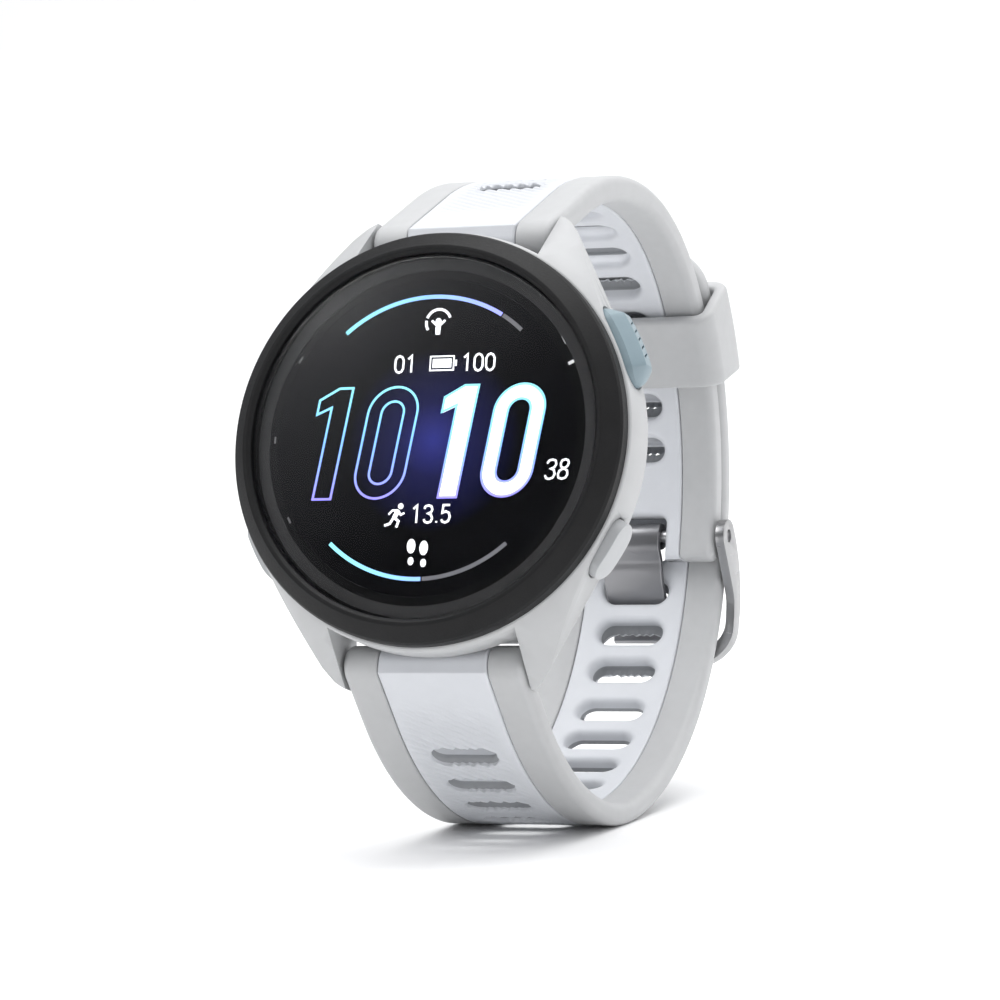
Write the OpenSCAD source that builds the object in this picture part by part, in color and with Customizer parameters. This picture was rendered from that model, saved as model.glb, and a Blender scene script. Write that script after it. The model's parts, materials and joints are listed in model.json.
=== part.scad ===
// Running watch standing on its buckled strap.
// Face frame: x to 3 o'clock, y to 12 o'clock, z out of the glass, z = 0 at the bezel's front.
// Side frame (u, v): u is the depth behind the bezel's front, v runs to 12 o'clock.

/* [Case] */
// Outer radius of the bezel ring
bezel_r = 21.5; // [21:0.1:21.7]
// Outer radius of the case wall
case_r = 21.8; // [21.7:0.1:22.2]
// Depth at which the bezel sits on the case
bezel_seat = 3.2; // [3:0.1:3.4]
// Depth at which the case wall ends and the rear cover starts
case_end = 9.9; // [9.8:0.1:10]
// Depth of the rear cover's outer face
cover_end = 11.2; // [11:0.1:11.4]
// Radius of the hollow inside the case
cavity_r = 18.3; // [18.2:0.1:18.4]
// Width between the lugs
lug_gap = 20.7; // [20.6:0.1:21]
// Angle by which the dial leans back from upright
lean = 16; // [10:1:20]

/* [Glass and display] */
// Radius of the cover glass
glass_r = 18.9; // [18.7:0.1:19]
// Depth of the glass's front
glass_front = 0.45; // [0.3:0.05:0.6]
// Thickness of the cover glass
glass_t = 1.2; // [1:0.1:1.3]

/* [Buttons] */
// Depth of the buttons' middle line
button_depth = 5.9; // [5.8:0.1:6]
// How far each button travels inward
button_travel = 0.6; // [0.4:0.1:0.6]
// Radius of the button stems
stem_r = 0.9; // [0.8:0.05:1]

/* [Strap] */
// Width of the strap
strap_w = 20.2; // [19.8:0.1:20.2]
// Width of the pale centre insert
insert_w = 12.2; // [11.6:0.2:12.6]
// Thickness of the upper strap half, which carries the buckle
upper_t = 2.8; // [2.6:0.1:2.8]
// Thickness of the lower strap half, which has the holes
lower_t = 2.4; // [2.2:0.1:2.4]
// Gap between the strap halves where they overlap
strap_gap = 0.3; // [0.3:0.05:0.4]
// Distance from one strap hole to the next
hole_pitch = 5.4; // [5.2:0.1:5.5]
// Length of a strap hole across the strap
hole_l = 7.6; // [7:0.1:8]
// Width of a strap hole along the strap
hole_w = 2.3; // [2:0.1:2.5]

/* [Hidden] */
$fn = 96;
eps = 0.01;

// ---- Lugs and spring bars.
bar_depth = 9.2;
bar_v = 22.4;
knob_r = 2.15;
bar_r = 0.75;
bar_bore_r = 0.8;
bar_half = 9.6;
pin_r = 0.4;
pin_bore_r = 0.45;
lug_x0 = lug_gap / 2;
lug_hole_r = 0.45;
pin_reach = 11.5;
lever_x = 5.2;
lever_r = 0.45;

// ---- Strap halves: outer outlines as tangent arcs, each with its centre in (u, v).
// A front arc's radius is the one whose tangent line also touches the strap's end knob.
function front_r(top, a) =
  (knob_r - bar_depth * sin(a) + bar_v * cos(a) + top[0] * sin(a) - top[1] * cos(a)) / (1 - cos(a));
// The length of that line, between the arc and the knob.
function line_length(top, r, a) =
  (top[0] - r * sin(a) - bar_depth + knob_r * sin(a)) * cos(a)
  + (top[1] - r * (1 - cos(a)) - bar_v - knob_r * cos(a)) * sin(a);

upper_top = [34.45, 34.95];
upper_line_angle = 33;
top_front_r = front_r(upper_top, upper_line_angle);
top_front = upper_top - [0, top_front_r];
upper_line_l = line_length(upper_top, top_front_r, upper_line_angle);
top_back_r = 26;
top_back = upper_top - [0, top_back_r];
top_back_turn = 42;
far_turn = 90 - top_back_turn;
far_top_r = 34;
far_top = top_back - (far_top_r - top_back_r) * [cos(far_turn), sin(far_turn)];
upper_end_v = -1.4;

lower_bottom = [33.8, 35.15];
low_line_angle = 38;
low_front_r = front_r(lower_bottom, low_line_angle);
low_front = [lower_bottom[0], low_front_r - lower_bottom[1]];
low_line_l = line_length(lower_bottom, low_front_r, low_line_angle);
low_mid_r = 24;
low_mid = [lower_bottom[0], low_mid_r - lower_bottom[1]];
low_mid_turn = 22;
low_back_r = 38;
low_back = low_mid + (low_mid_r - low_back_r) * [sin(low_mid_turn), -cos(low_mid_turn)];
low_back_turn = 45;
tail_r = far_top_r + strap_gap + lower_t;
far_low_r = (far_top[0] + tail_r - low_back[0] - low_back_r * cos(low_back_turn))
          / (1 - cos(low_back_turn));
far_low = low_back + (low_back_r - far_low_r) * [cos(low_back_turn), -sin(low_back_turn)];
tail_turn = 55;

// ---- Keeper: the angles it spans on the far side, its wall, and its clearance round the strap.
keeper_mid = 36.5;
keeper_half = 8;
keeper_wall = 1.5;
keeper_clear = 0.3;
keeper_r = tail_r + keeper_clear + keeper_wall;

// ---- Where the whole watch stands: its lowest point, on the lower strap half, is at height 0.
lowest = -(lower_bottom[0] + low_mid_r * sin(lean)) * sin(lean)
       - (lower_bottom[1] - low_mid_r * (1 - cos(lean))) * cos(lean);
stand_front = -19.8 * sin(lean);
stand_back = far_top[0] * cos(lean) + far_top[1] * sin(lean)
           + keeper_r * cos(keeper_mid - keeper_half - lean);
stand_y = -(stand_front + stand_back) / 2;

// ---- Buckle.
pivot = [61.7, 1.4];
pivot_r = 0.7;
pivot_bore_r = 0.74;
frame_x0 = 10.5;
frame_x1 = 11.5;
tongue_w = 7;
fork_w = 8.4;
tongue_t = 0.8;

// ---- Buttons: angle on the dial, length across, height, reach of the head's outer face.
LIGHT = [150, 6.4, 3, 22.7];
UP = [180, 6.4, 3, 22.7];
DOWN = [210, 6.4, 3, 22.7];
START = [27, 9.2, 4.4, 23.6];
BACK = [330, 6.4, 3.4, 22.9];
BUTTONS = [LIGHT, UP, DOWN, START, BACK];
head_floor_r = 20.4;
head_base_r = 21.15;
stem_end_r = 17.95;
clip_r0 = 17.95;
clip_t = 0.3;
seal_seat_r = 1.5;
seal_seat_depth = 0.8;

// ============ helpers ============

// Stands the face frame up, leaning back, on the strap's lowest point.
module stand() {
  translate([0, stand_y, -lowest]) rotate([90 - lean, 0, 0]) children();
}

// A solid from depth d0 to depth d1, its outline drawn in x and y.
module slab(d0, d1) {
  translate([0, 0, -d1]) linear_extrude(d1 - d0) children();
}

// A ring or disc between two depths.
module disc(r, d0, d1, hole = 0) {
  difference() {
    slab(d0, d1) circle(r);
    if (hole > 0) slab(d0 - eps, d1 + eps) circle(hole);
  }
}

// Takes an outline drawn in (u, v) and runs it along x from x0 to x1.
module across(x0, x1) {
  rotate([0, 90, 0]) translate([0, 0, x0]) linear_extrude(x1 - x0) children();
}

// A pin along x at (u, v).
module pin_x(at, r, x0, x1, sides = 48) {
  across(x0, x1) translate(at) circle(r, $fn = sides);
}

// Turns a cross-section, drawn as [distance from the centre, x], about a centre in (u, v).
module turn_about(centre, from, sweep) {
  rotate([0, 90, 0]) translate([centre[0], centre[1], 0])
    rotate([0, 0, from]) rotate_extrude(angle = sweep, $fn = 180) children();
}

// Points along an arc about a centre, from one angle to another, about 2.5 degrees apart.
function arc(centre, r, a0, a1) =
  let (n = max(2, ceil(abs(a1 - a0) / 2.5)))
  [for (i = [0:n]) centre + r * [cos(a0 + (a1 - a0) * i / n), sin(a0 + (a1 - a0) * i / n)]];

// A strap hole: an obround along x, cut through the strap where it lies on an arc.
module hole_on_arc(centre, angle, r) {
  rotate([0, 90, 0]) translate([centre[0], centre[1], 0]) rotate([0, 0, angle])
    translate([r, 0, 0]) rotate([0, 90, 0]) obround_prism(hole_l, hole_w, 8);
}

// An obround column along z, long along x.
module obround_prism(l, w, h) {
  translate([0, 0, -h / 2]) linear_extrude(h) obround(l, w);
}

module obround(l, w) {
  square([l - w, w], center = true);
  for (s = [-1, 1]) translate([s * (l - w) / 2, 0]) circle(w / 2, $fn = 48);
}

// Turns a shape, drawn with x pointing outward, to a button's place.
module at_button(b) {
  rotate([0, 0, b[0]]) translate([0, 0, -button_depth]) children();
}

// A button's outline along its own outward axis, from radius r0 to r1.
module button_column(b, r0, r1, grow = 0) {
  at_button(b) translate([r0, 0, 0]) rotate([90, 0, 90]) linear_extrude(r1 - r0)
    obround(b[1] + 2 * grow, b[2] + 2 * grow);
}

// ============ front: bezel, glass, display ============

bezel_lip_r = 19.05;
ledge_r = 17.4;
gasket_t = 0.15;
ledge_depth = glass_front + glass_t + gasket_t;

module bezel_ring() {
  color("#2b2c2e") stand() rotate_extrude($fn = 180) polygon([
    [bezel_lip_r, -ledge_depth], [bezel_lip_r, -0.35], [bezel_lip_r + 0.4, 0],
    [bezel_lip_r + 0.75, 0], [bezel_r - 0.2, -1.35], [bezel_r, -1.6], [bezel_r, -bezel_seat],
    [ledge_r, -bezel_seat], [ledge_r, -ledge_depth]]);
}

module cover_glass() {
  color("#101113") stand() disc(glass_r, glass_front, glass_front + glass_t);
}

module glass_gasket() {
  color("#1c1c1c") stand() disc(glass_r - 0.2, glass_front + glass_t, ledge_depth, ledge_r + 0.1);
}

display_r = 16.6;
display_front = glass_front + glass_t + 0.05;
display_back = display_front + 1.1;

module display_module() {
  color("#0a0b10") stand() disc(display_r, display_front, display_back);
}

frame_front = bezel_seat + 0.15;
frame_back = frame_front + 0.6;

module inner_frame() {
  color("#5b5f63") stand() difference() {
    disc(cavity_r - 0.2, frame_front, frame_back, 12.5);
    for (b = BUTTONS) rotate([0, 0, b[0]]) translate([15.6, -3, -frame_back - eps]) cube([4, 6, 1]);
    translate([-4.6, -18.4, -frame_back - eps]) cube([9.2, 5.8, 1]);
  }
}

flex_w = 8;

module display_flex() {
  color("#b5772e") stand() {
    translate([-flex_w / 2, -16.2, -board_back - 0.25]) cube([flex_w, 0.15, board_back + 0.25 - display_back]);
    translate([-flex_w / 2, -16.2, -board_back - 0.25]) cube([flex_w, 5, 0.15]);
  }
}

antenna_r = 18.9;

module antenna_ring() {
  color("#c8a15a") stand() rotate([0, 0, 20]) translate([0, 0, -bezel_seat - 0.45])
    rotate_extrude(angle = 320, $fn = 180) translate([antenna_r, 0]) square([0.8, 0.45]);
}

// ============ case ============

// Plan outline of the case: a circle and four rounded lug corners, joined by tangent flanks.
lug_c = [8.64, 20.4];
lug_r = 4.7;
flank_angle = atan2(lug_c[1], lug_c[0]) - acos((case_r - lug_r) / norm(lug_c));

module case_outline() {
  circle(case_r, $fn = 180);
  for (s = [-1, 1]) scale([1, s]) polygon(concat(
    [case_r * [cos(flank_angle), sin(flank_angle)]],
    arc(lug_c, lug_r, flank_angle, 90),
    arc([-lug_c[0], lug_c[1]], lug_r, 90, 180 - flank_angle),
    [case_r * [-cos(flank_angle), sin(flank_angle)]]));
}

facet_r = case_r - 0.15;
facet_slope = 1.1;
lug_back = 11;

// Everything in front of the sloping facet that runs from the bezel out to the lug tips.
module facet_cut() {
  rotate_extrude($fn = 180) polygon([[facet_r, 1], [facet_r, -bezel_seat],
    [40, -bezel_seat - facet_slope * (40 - facet_r)], [40, 1]]);
}

// What the lugs add behind the case wall.
module lug_foot(side) {
  intersection() {
    slab(8.5, lug_back) case_outline();
    scale([side, 1, 1]) across(lug_x0, 20) polygon([[8, 18.5], [8, 27], [10.2, 27],
      [lug_back + 1, 22.6], [lug_back + 1, 20.6], [case_end, 18.5]]);
  }
}

bevel_start = 8;
bevel_slope = 0.5;

// The section cut away behind the case's widest line, as [distance out, height].
module bevel_section() {
  polygon([[case_r, -bevel_start], [40, -bevel_start], [40, -12],
    [case_r - bevel_slope * (12 - bevel_start), -12]]);
}

// The bevel round the back of the case: turned between the flanks, straight along each flank.
module back_bevel() {
  for (h = [0, 180]) rotate([0, 0, h - flank_angle]) rotate_extrude(angle = 2 * flank_angle, $fn = 180)
    bevel_section();
  for (h = [0, 1], v = [0, 1]) mirror([h, 0, 0]) mirror([0, v, 0]) rotate([0, 0, flank_angle])
    translate([0, 20, 0]) rotate([90, 0, 0]) linear_extrude(20.4) bevel_section();
}

knob_clear = 0.3;
pocket_v = bar_v - knob_r - knob_clear;
pocket_depth = bar_depth - knob_r - knob_clear;
lip_r = case_r + 0.1;

// The room for a strap end between two lugs, behind a lip that follows the bezel.
module end_pocket() {
  translate([-lug_x0, pocket_v, -14]) cube([lug_gap, 20, 14 - pocket_depth]);
  slab(0, 14) difference() {
    translate([-lug_x0, 15]) square([lug_gap, 20]);
    circle(lip_r, $fn = 180);
  }
}

screw_x = 11.6;
screw_y = 15.6;
screw_hole_r = 0.55;
boss_r = 1.5;

module screw_bosses() {
  for (x = [-1, 1], y = [-1, 1]) translate([x * screw_x, y * screw_y, -case_end])
    cylinder(r = boss_r, h = case_end - 5.2, $fn = 48);
}

module main_case() {
  color("#c9cacb") stand() difference() {
    union() {
      difference() {
        slab(bezel_seat, case_end) case_outline();
        slab(bezel_seat - eps, case_end + eps) circle(cavity_r, $fn = 180);
      }
      intersection() {
        screw_bosses();
        slab(bezel_seat, case_end) circle(cavity_r + 1, $fn = 180);
      }
      for (v = [-1, 1], h = [-1, 1]) scale([1, v, 1]) lug_foot(h);
    }
    facet_cut();
    back_bevel();
    for (v = [0, 1]) mirror([0, v, 0]) {
      end_pocket();
      pin_x([bar_depth, bar_v], lug_hole_r, -pin_reach - 0.2, pin_reach + 0.2);
    }
    slab(bezel_seat - eps, bezel_seat + 0.5) difference() {
      circle(antenna_r + 0.85, $fn = 180);
      circle(antenna_r - 0.05, $fn = 180);
    }
    for (b = BUTTONS) {
      button_column(b, head_floor_r, 26, 0.2);
      at_button(b) rotate([0, 90, 0]) cylinder(r = stem_r + 0.05, h = 26, $fn = 48);
      at_button(b) translate([head_floor_r - seal_seat_depth, 0, 0]) rotate([0, 90, 0])
        cylinder(r = seal_seat_r, h = 2, $fn = 48);
    }
    for (x = [-1, 1], y = [-1, 1]) translate([x * screw_x, y * screw_y, -case_end - eps])
      cylinder(r = screw_hole_r, h = 3, $fn = 48);
  }
}

cover_r = 20.3;
cover_flat = pocket_v - 0.1;
window_r = 9.5;
contact_x = 11.9;
contact_pitch = 1.9;
contact_r = 0.45;

module contact_places() {
  for (i = [-1.5:1.5]) translate([contact_x, i * contact_pitch, 0]) children();
}

module rear_cover() {
  color("#d2d3d4") stand() difference() {
    union() {
      slab(case_end, cover_end) intersection() {
        circle(cover_r, $fn = 180);
        square([60, 2 * cover_flat], center = true);
      }
      disc(16.4, case_end - 0.9, case_end, 15.2);
    }
    slab(case_end - 1, cover_end + 1) circle(window_r - 0.6);
    slab(cover_end - 0.5, cover_end + 1) circle(window_r);
    for (x = [-1, 1], y = [-1, 1]) translate([x * screw_x, y * screw_y, 0]) {
      translate([0, 0, -cover_end - eps]) cylinder(r = 0.7, h = 4, $fn = 48);
      translate([0, 0, -cover_end - eps]) cylinder(r = 1.25, h = 0.6, $fn = 48);
    }
    translate([0, 0, -cover_end - eps]) contact_places() cylinder(r = contact_r, h = 4, $fn = 32);
    translate([contact_x, 0, -cover_end - eps]) linear_extrude(0.3) rotate([0, 0, 90])
      obround(9.4, 3.4);
  }
}

module rear_gasket() {
  color("#3a3a3c") stand() disc(16.95, case_end - 0.5, case_end, 16.45);
}

module cover_screws() {
  color("#b9bcc0") stand() for (x = [-1, 1], y = [-1, 1])
    translate([x * screw_x, y * screw_y, -cover_end]) difference() {
      union() {
        cylinder(r = 1.15, h = 0.55, $fn = 48);
        cylinder(r = screw_hole_r, h = 3.6, $fn = 48);
      }
      translate([0, 0, -eps]) cylinder(r = 0.5, h = 0.4, $fn = 6);
    }
}

window_bulge = 0.4;

module sensor_window() {
  color("#17181a") stand() rotate_extrude($fn = 120) polygon([
    [0, -cover_end + 0.5], [window_r - 0.03, -cover_end + 0.5], [window_r - 0.03, -cover_end],
    [window_r - 1.2, -cover_end - window_bulge], [0, -cover_end - window_bulge]]);
}

// ============ inside ============

board_front = 4.2;
board_t = 0.7;
board_back = board_front + board_t;
board_r = 16;

module main_board() {
  color("#1f5a3a") stand() difference() {
    disc(board_r, board_front, board_back);
    for (b = BUTTONS) rotate([0, 0, b[0]]) translate([14.4, -3.2, -board_back - eps]) cube([4, 6.4, 1]);
    for (x = [-1, 1], y = [-1, 1]) translate([x * screw_x, y * screw_y, -board_back - eps])
      cylinder(r = 4.2, h = 1, $fn = 48);
    translate([-flex_w / 2 - 0.3, -17, -board_back - eps]) cube([flex_w + 0.6, 1.2, 1]);
  }
}

battery_back = 9.1;
battery_size = [14, 18.6, 3.9];
battery_at = [-11.4, -9.3, -battery_back];

module battery() {
  color("#c7c9cc") stand() translate(battery_at) cube(battery_size);
}

module shield_can() {
  color("#d8dadd") stand() translate([3.2, -8.6, -board_back - 1.3]) difference() {
    cube([8.6, 9.6, 1.3]);
    translate([0.2, 0.2, 0.2]) cube([8.2, 9.2, 1.3]);
  }
}

module board_chips() {
  color("#26272b") stand() {
    translate([4.2, -8, -board_back - 0.9]) cube([4, 4, 0.9]);
    translate([9, -7.6, -board_back - 0.7]) cube([2.4, 3, 0.7]);
    translate([4.6, -2.8, -board_back - 0.8]) cube([6, 2.6, 0.8]);
    translate([-3, 11.6, -board_back - 0.8]) cube([6, 2.2, 0.8]);
  }
}

motor_r = 3.8;
motor_at = [8.2, 6.4];

module vibration_motor() {
  color("#b8bbbf") stand() translate([motor_at[0], motor_at[1], 0]) disc(motor_r, board_back, board_back + 2.7);
}

module buzzer() {
  color("#c9a24a") stand() translate([8.4, -3.6, 0]) disc(4.6, 6.8, 7.4);
}

sensor_board_front = 9.25;

module sensor_board() {
  color("#23314a") stand() disc(8.6, sensor_board_front, 9.85);
}

module sensor_emitters() {
  color("#7fd36a") stand() {
    for (a = [45:90:315]) rotate([0, 0, a]) translate([5, -0.8, -10.35]) cube([1.6, 1.6, 0.5]);
    translate([-1.4, -1, -10.35]) cube([2.8, 2, 0.5]);
    for (s = [-1, 1]) translate([s * 5.6 - 0.8, -1, -10.35]) cube([1.6, 2, 0.5]);
  }
}

module charge_contacts() {
  color("#d9b45a") stand() translate([0, 0, -cover_end + 0.35]) contact_places()
    cylinder(r = contact_r, h = 1.7, $fn = 32);
}

// ============ buttons ============

module button_switches() {
  color("#c2c4c7") stand() for (b = BUTTONS) at_button(b) {
    translate([14.9, -2.2, -1.1]) cube([1.7, 4.4, 2.2]);
    translate([16.6, 0, 0]) rotate([0, 90, 0]) cylinder(r = 0.8, h = 0.65, $fn = 32);
  }
}

module button_seals() {
  color("#8a3b2f") stand() for (b = BUTTONS) at_button(b)
    translate([head_floor_r - seal_seat_depth + 0.1, 0, 0]) rotate([0, 90, 0]) difference() {
      cylinder(r = seal_seat_r, h = 0.55, $fn = 48);
      translate([0, 0, -1]) cylinder(r = stem_r + 0.05, h = 3, $fn = 48);
    }
}

// A button: a head with its face rounded to the case, and a grooved stem.
module button(b) {
  stand() difference() {
    union() {
      intersection() {
        button_column(b, head_base_r, 26);
        rotate([0, 0, b[0]]) slab(0, 12) circle(b[3], $fn = 180);
      }
      at_button(b) translate([stem_end_r, 0, 0]) rotate([0, 90, 0])
        cylinder(r = stem_r, h = head_base_r + 0.5 - stem_end_r, $fn = 48);
    }
    at_button(b) translate([clip_r0 - 1, 0, 0]) rotate([0, 90, 0]) difference() {
      cylinder(r = 2, h = 1 + clip_t + 0.02, $fn = 48);
      cylinder(r = stem_r - 0.25, h = 4, $fn = 48);
    }
  }
}

// The clip that keeps a button's stem from coming out.
module stem_clip(b) {
  color("#9a9da1") stand() at_button(b) translate([clip_r0, 0, 0]) rotate([0, 90, 0]) difference() {
    cylinder(r = 1.5, h = clip_t, $fn = 48);
    translate([0, 0, -1]) cylinder(r = stem_r - 0.24, h = 3, $fn = 48);
    translate([-4, -0.35, -1]) cube([4, 0.7, 3]);
  }
}

module button_light() color("#c6c8c9") button(LIGHT);
module button_up() color("#c6c8c9") button(UP);
module button_down() color("#c6c8c9") button(DOWN);
module button_start() color("#8fa3ab") button(START);
module button_back() color("#c6c8c9") button(BACK);

// ============ strap ============

// The bore for the spring bar, and the slot for its release lever.
module bar_bore(v, part) {
  pin_x([bar_depth, v], bar_bore_r, -30, 30);
  if (part == "insert")
    translate([lever_x - 2, v - 0.8, -bar_depth - 4]) cube([insert_w / 2 - lever_x + 3, 1.6, 4]);
}

// The line of the upper half at a distance t inside its outer face, from the end knob to the buckle.
function upper_line(t) = concat(
  arc(top_front, top_front_r - t, 90 + upper_line_angle, 90),
  arc(top_back, top_back_r - t, 90, far_turn),
  arc(far_top, far_top_r - t, far_turn, 0),
  [[far_top[0] + far_top_r - t, upper_end_v]]);

function reversed(p) = [for (i = [len(p) - 1:-1:0]) p[i]];

// The end knob's outline, from the strap's inner face round the bar to its outer face.
function knob(v, t, out) =
  let (inner = acos((knob_r - t) / knob_r))
  arc([bar_depth, v], knob_r, out + (v > 0 ? -inner : inner), out + (v > 0 ? -360 : 360));

upper_outline = concat(upper_line(0), reversed(upper_line(upper_t)),
  knob(bar_v, upper_t, 90 + upper_line_angle));

// One part of a strap half: the two rails, or the insert between them.
module strap_part(outline, part) {
  if (part == "insert") across(-insert_w / 2, insert_w / 2) polygon(outline);
  else for (h = [0, 1]) mirror([h, 0, 0]) across(insert_w / 2, strap_w / 2) polygon(outline);
}

upper_first = 0.6;

// Where a hole lies on the upper half, by its distance from the strap's top along the outer face.
module upper_hole(s) {
  back_l = top_back_r * top_back_turn * PI / 180;
  if (s < 0) hole_on_arc(top_front, 90 - s / top_front_r * 180 / PI, top_front_r);
  if (s >= 0 && s < back_l) hole_on_arc(top_back, 90 - s / top_back_r * 180 / PI, top_back_r);
  if (s >= back_l) hole_on_arc(far_top, far_turn - (s - back_l) / far_top_r * 180 / PI, far_top_r);
}

module upper_half(part) {
  difference() {
    strap_part(upper_outline, part);
    bar_bore(bar_v, part);
    pin_x(pivot, pivot_bore_r, -30, 30);
    if (part == "insert") {
      for (k = [-3:7]) upper_hole(upper_first + k * hole_pitch);
      across(-fork_w / 2, fork_w / 2) polygon([[50, -10], [70, -10], [70, 3.6], [50, 3.6]]);
    }
  }
}

module strap_upper_rails() color("#cbcccd") stand() upper_half("rails");
module strap_upper_insert() color("#e4e6ea") stand() upper_half("insert");

// The same for the lower half, from the end knob round the far side to a point on the tail.
function lower_line(t, tail_end) = concat(
  arc(low_front, low_front_r - t, 270 - low_line_angle, 270),
  arc(low_mid, low_mid_r - t, 270, 270 + low_mid_turn),
  arc(low_back, low_back_r - t, 270 + low_mid_turn, 360 - low_back_turn),
  arc(far_low, far_low_r - t, 360 - low_back_turn, 360),
  arc(far_top, tail_r - t, 0, tail_end));

lower_outline = concat(lower_line(0, tail_turn), reversed(lower_line(lower_t, tail_turn)),
  knob(-bar_v, lower_t, 270 - low_line_angle));

tongue_hole = [64, -5.55];
tongue_hole_angle = -46;

// Where a hole lies on the lower half, by its distance from the far side's middle along the outer face.
module lower_hole(s) {
  far_l = far_low_r * low_back_turn * PI / 180;
  back_l = far_l + low_back_r * (low_back_turn - low_mid_turn) * PI / 180;
  mid_l = back_l + low_mid_r * low_mid_turn * PI / 180;
  deg = 180 / PI;
  if (s < -far_top[1]) hole_on_arc(far_top, (-s - far_top[1]) / tail_r * deg, tail_r);
  if (s >= -far_top[1] && s < far_l) hole_on_arc(far_low, -s / far_low_r * deg, far_low_r);
  if (s >= far_l && s < back_l)
    hole_on_arc(low_back, -low_back_turn - (s - far_l) / low_back_r * deg, low_back_r);
  if (s >= back_l && s < mid_l)
    hole_on_arc(low_mid, low_mid_turn - 90 - (s - back_l) / low_mid_r * deg, low_mid_r);
  if (s >= mid_l) hole_on_arc(low_front, -90 - (s - mid_l) / low_front_r * deg, low_front_r);
}

tip_l = 6;
tip_turn = tip_l / tail_r * 180 / PI;
tip_corner = 6;

// The wedge of the side view in which the lower half is solid across its whole width.
module tip_wedge() {
  translate(far_top) rotate(tail_turn - tip_turn) square(60);
}

module lower_half(part) {
  difference() {
    if (part == "insert") {
      across(-insert_w / 2, insert_w / 2) difference() {
        polygon(lower_outline);
        tip_wedge();
      }
    } else {
      difference() {
        across(-strap_w / 2, strap_w / 2) polygon(lower_outline);
        across(-insert_w / 2, insert_w / 2) difference() {
          translate([-100, -100]) square(200);
          tip_wedge();
        }
        tip_corners();
      }
    }
    bar_bore(-bar_v, part);
    if (part == "insert") {
      for (k = [-5:13]) if (k != 1) lower_hole(k * hole_pitch);
      across(-hole_l / 2, hole_l / 2) translate(tongue_hole) rotate(tongue_hole_angle)
        square([7, 2.3], center = true);
    }
  }
}

// What is cut off the lower half's end to round its two corners.
module tip_corners() {
  rotate([0, 90, 0]) translate([far_top[0], far_top[1], 0]) rotate([0, 0, tail_turn - tip_turn])
    rotate([0, 90, 0]) linear_extrude(60) for (h = [0, 1]) mirror([h, 0, 0])
      translate([strap_w / 2 - tip_corner, tip_l - tip_corner]) difference() {
        square(tip_corner + 3);
        circle(tip_corner, $fn = 96);
      }
}

module strap_lower_rails() color("#cbcccd") stand() lower_half("rails");
module strap_lower_insert() color("#e4e6ea") stand() lower_half("insert");

// ============ spring bars ============

module spring_bar(v) {
  color("#b4b7bb") stand() difference() {
    union() {
      pin_x([bar_depth, v], bar_r, -bar_half, bar_half);
      pin_x([bar_depth, v], pin_r, -pin_reach, -bar_half + 1);
    }
    pin_x([bar_depth, v], pin_bore_r, -4, bar_half + 1);
    translate([lever_x - 2, v - 0.6, -bar_depth - 2]) cube([3, 1.2, 2]);
  }
}

// The sprung end of the bar with the small lever that pulls it in.
module release_pin(v) {
  color("#caccd0") stand() {
    pin_x([bar_depth, v], pin_r, lever_x - 0.5, pin_reach);
    translate([lever_x, v, -bar_depth - 2.6]) cylinder(r = lever_r, h = 2.6, $fn = 32);
  }
}

spring_x0 = -3.9;
spring_pitch = 0.72;
spring_turn = 0.4;

module release_spring(v) {
  color("#8f9296") stand() {
    pin_x([bar_depth, v], pin_r / 2, spring_x0, spring_x0 + 9 * spring_pitch + spring_turn, 32);
    for (i = [0:9]) pin_x([bar_depth, v], pin_r, spring_x0 + i * spring_pitch,
      spring_x0 + i * spring_pitch + spring_turn, 32);
  }
}

module spring_bar_upper() spring_bar(bar_v);
module release_pin_upper() release_pin(bar_v);
module release_spring_upper() release_spring(bar_v);
module spring_bar_lower() spring_bar(-bar_v);
module release_pin_lower() release_pin(-bar_v);
module release_spring_lower() release_spring(-bar_v);

// ============ buckle and keeper ============

module buckle_pivot() {
  color("#9b9ea2") stand() pin_x(pivot, pivot_r, -frame_x1 + 0.25, frame_x1 - 0.25);
}

// Side view of the buckle frame: a head round the pivot, sweeping out and down to the far bar.
head_r = 1.85;
sweep_c = [53.2, -6.6];
sweep_r = norm(pivot - sweep_c) + head_r;
sweep_top = atan2(pivot[1] - sweep_c[1], pivot[0] - sweep_c[0]);
hollow_c = [52.9, -7.6];
hollow_r = 11.95;

module frame_side() {
  difference() {
    polygon(concat(
      arc(pivot, head_r, sweep_top, 219),
      [[63.95, -4.25], [64.4, -4.95]],
      arc(hollow_c, hollow_r, 10, -36),
      arc(sweep_c, sweep_r, -36, sweep_top)));
    translate(pivot) circle(pivot_bore_r, $fn = 64);
  }
}

// Back view of the frame: a U with rounded corners.
frame_end_v = -13.2;
bar_w = 1.9;
outer_corner = 4.5;
inner_corner = 3.3;

module u_outline(half, end_v, corner, top) {
  polygon(concat([[-half, top]],
    arc([corner - half, end_v + corner], corner, 180, 270),
    arc([half - corner, end_v + corner], corner, 270, 360),
    [[half, top]]));
}

module buckle_frame() {
  color("#8f9194") stand() intersection() {
    across(-frame_x1 - 1, frame_x1 + 1) frame_side();
    slab(50, 75) difference() {
      u_outline(frame_x1, frame_end_v, outer_corner, 8);
      u_outline(frame_x0, frame_end_v + bar_w, inner_corner, 9);
    }
  }
}

// The middle line of the tongue: rolled round the pivot, then bent out through a strap hole.
roll_r = 1.5;
roll_end = 262;
tongue_path = [[60.6, 1.4], [60.75, 0.1], [61.3, -0.7], [61.8, -1.4], [62.15, -2.6], [62.8, -3.9],
  [63.8, -5.2], [65.3, -6.8], [66.15, -7.9], [66.5, -8.9], [66.6, -9.8]];

function unit(v) = v / norm(v);

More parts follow.
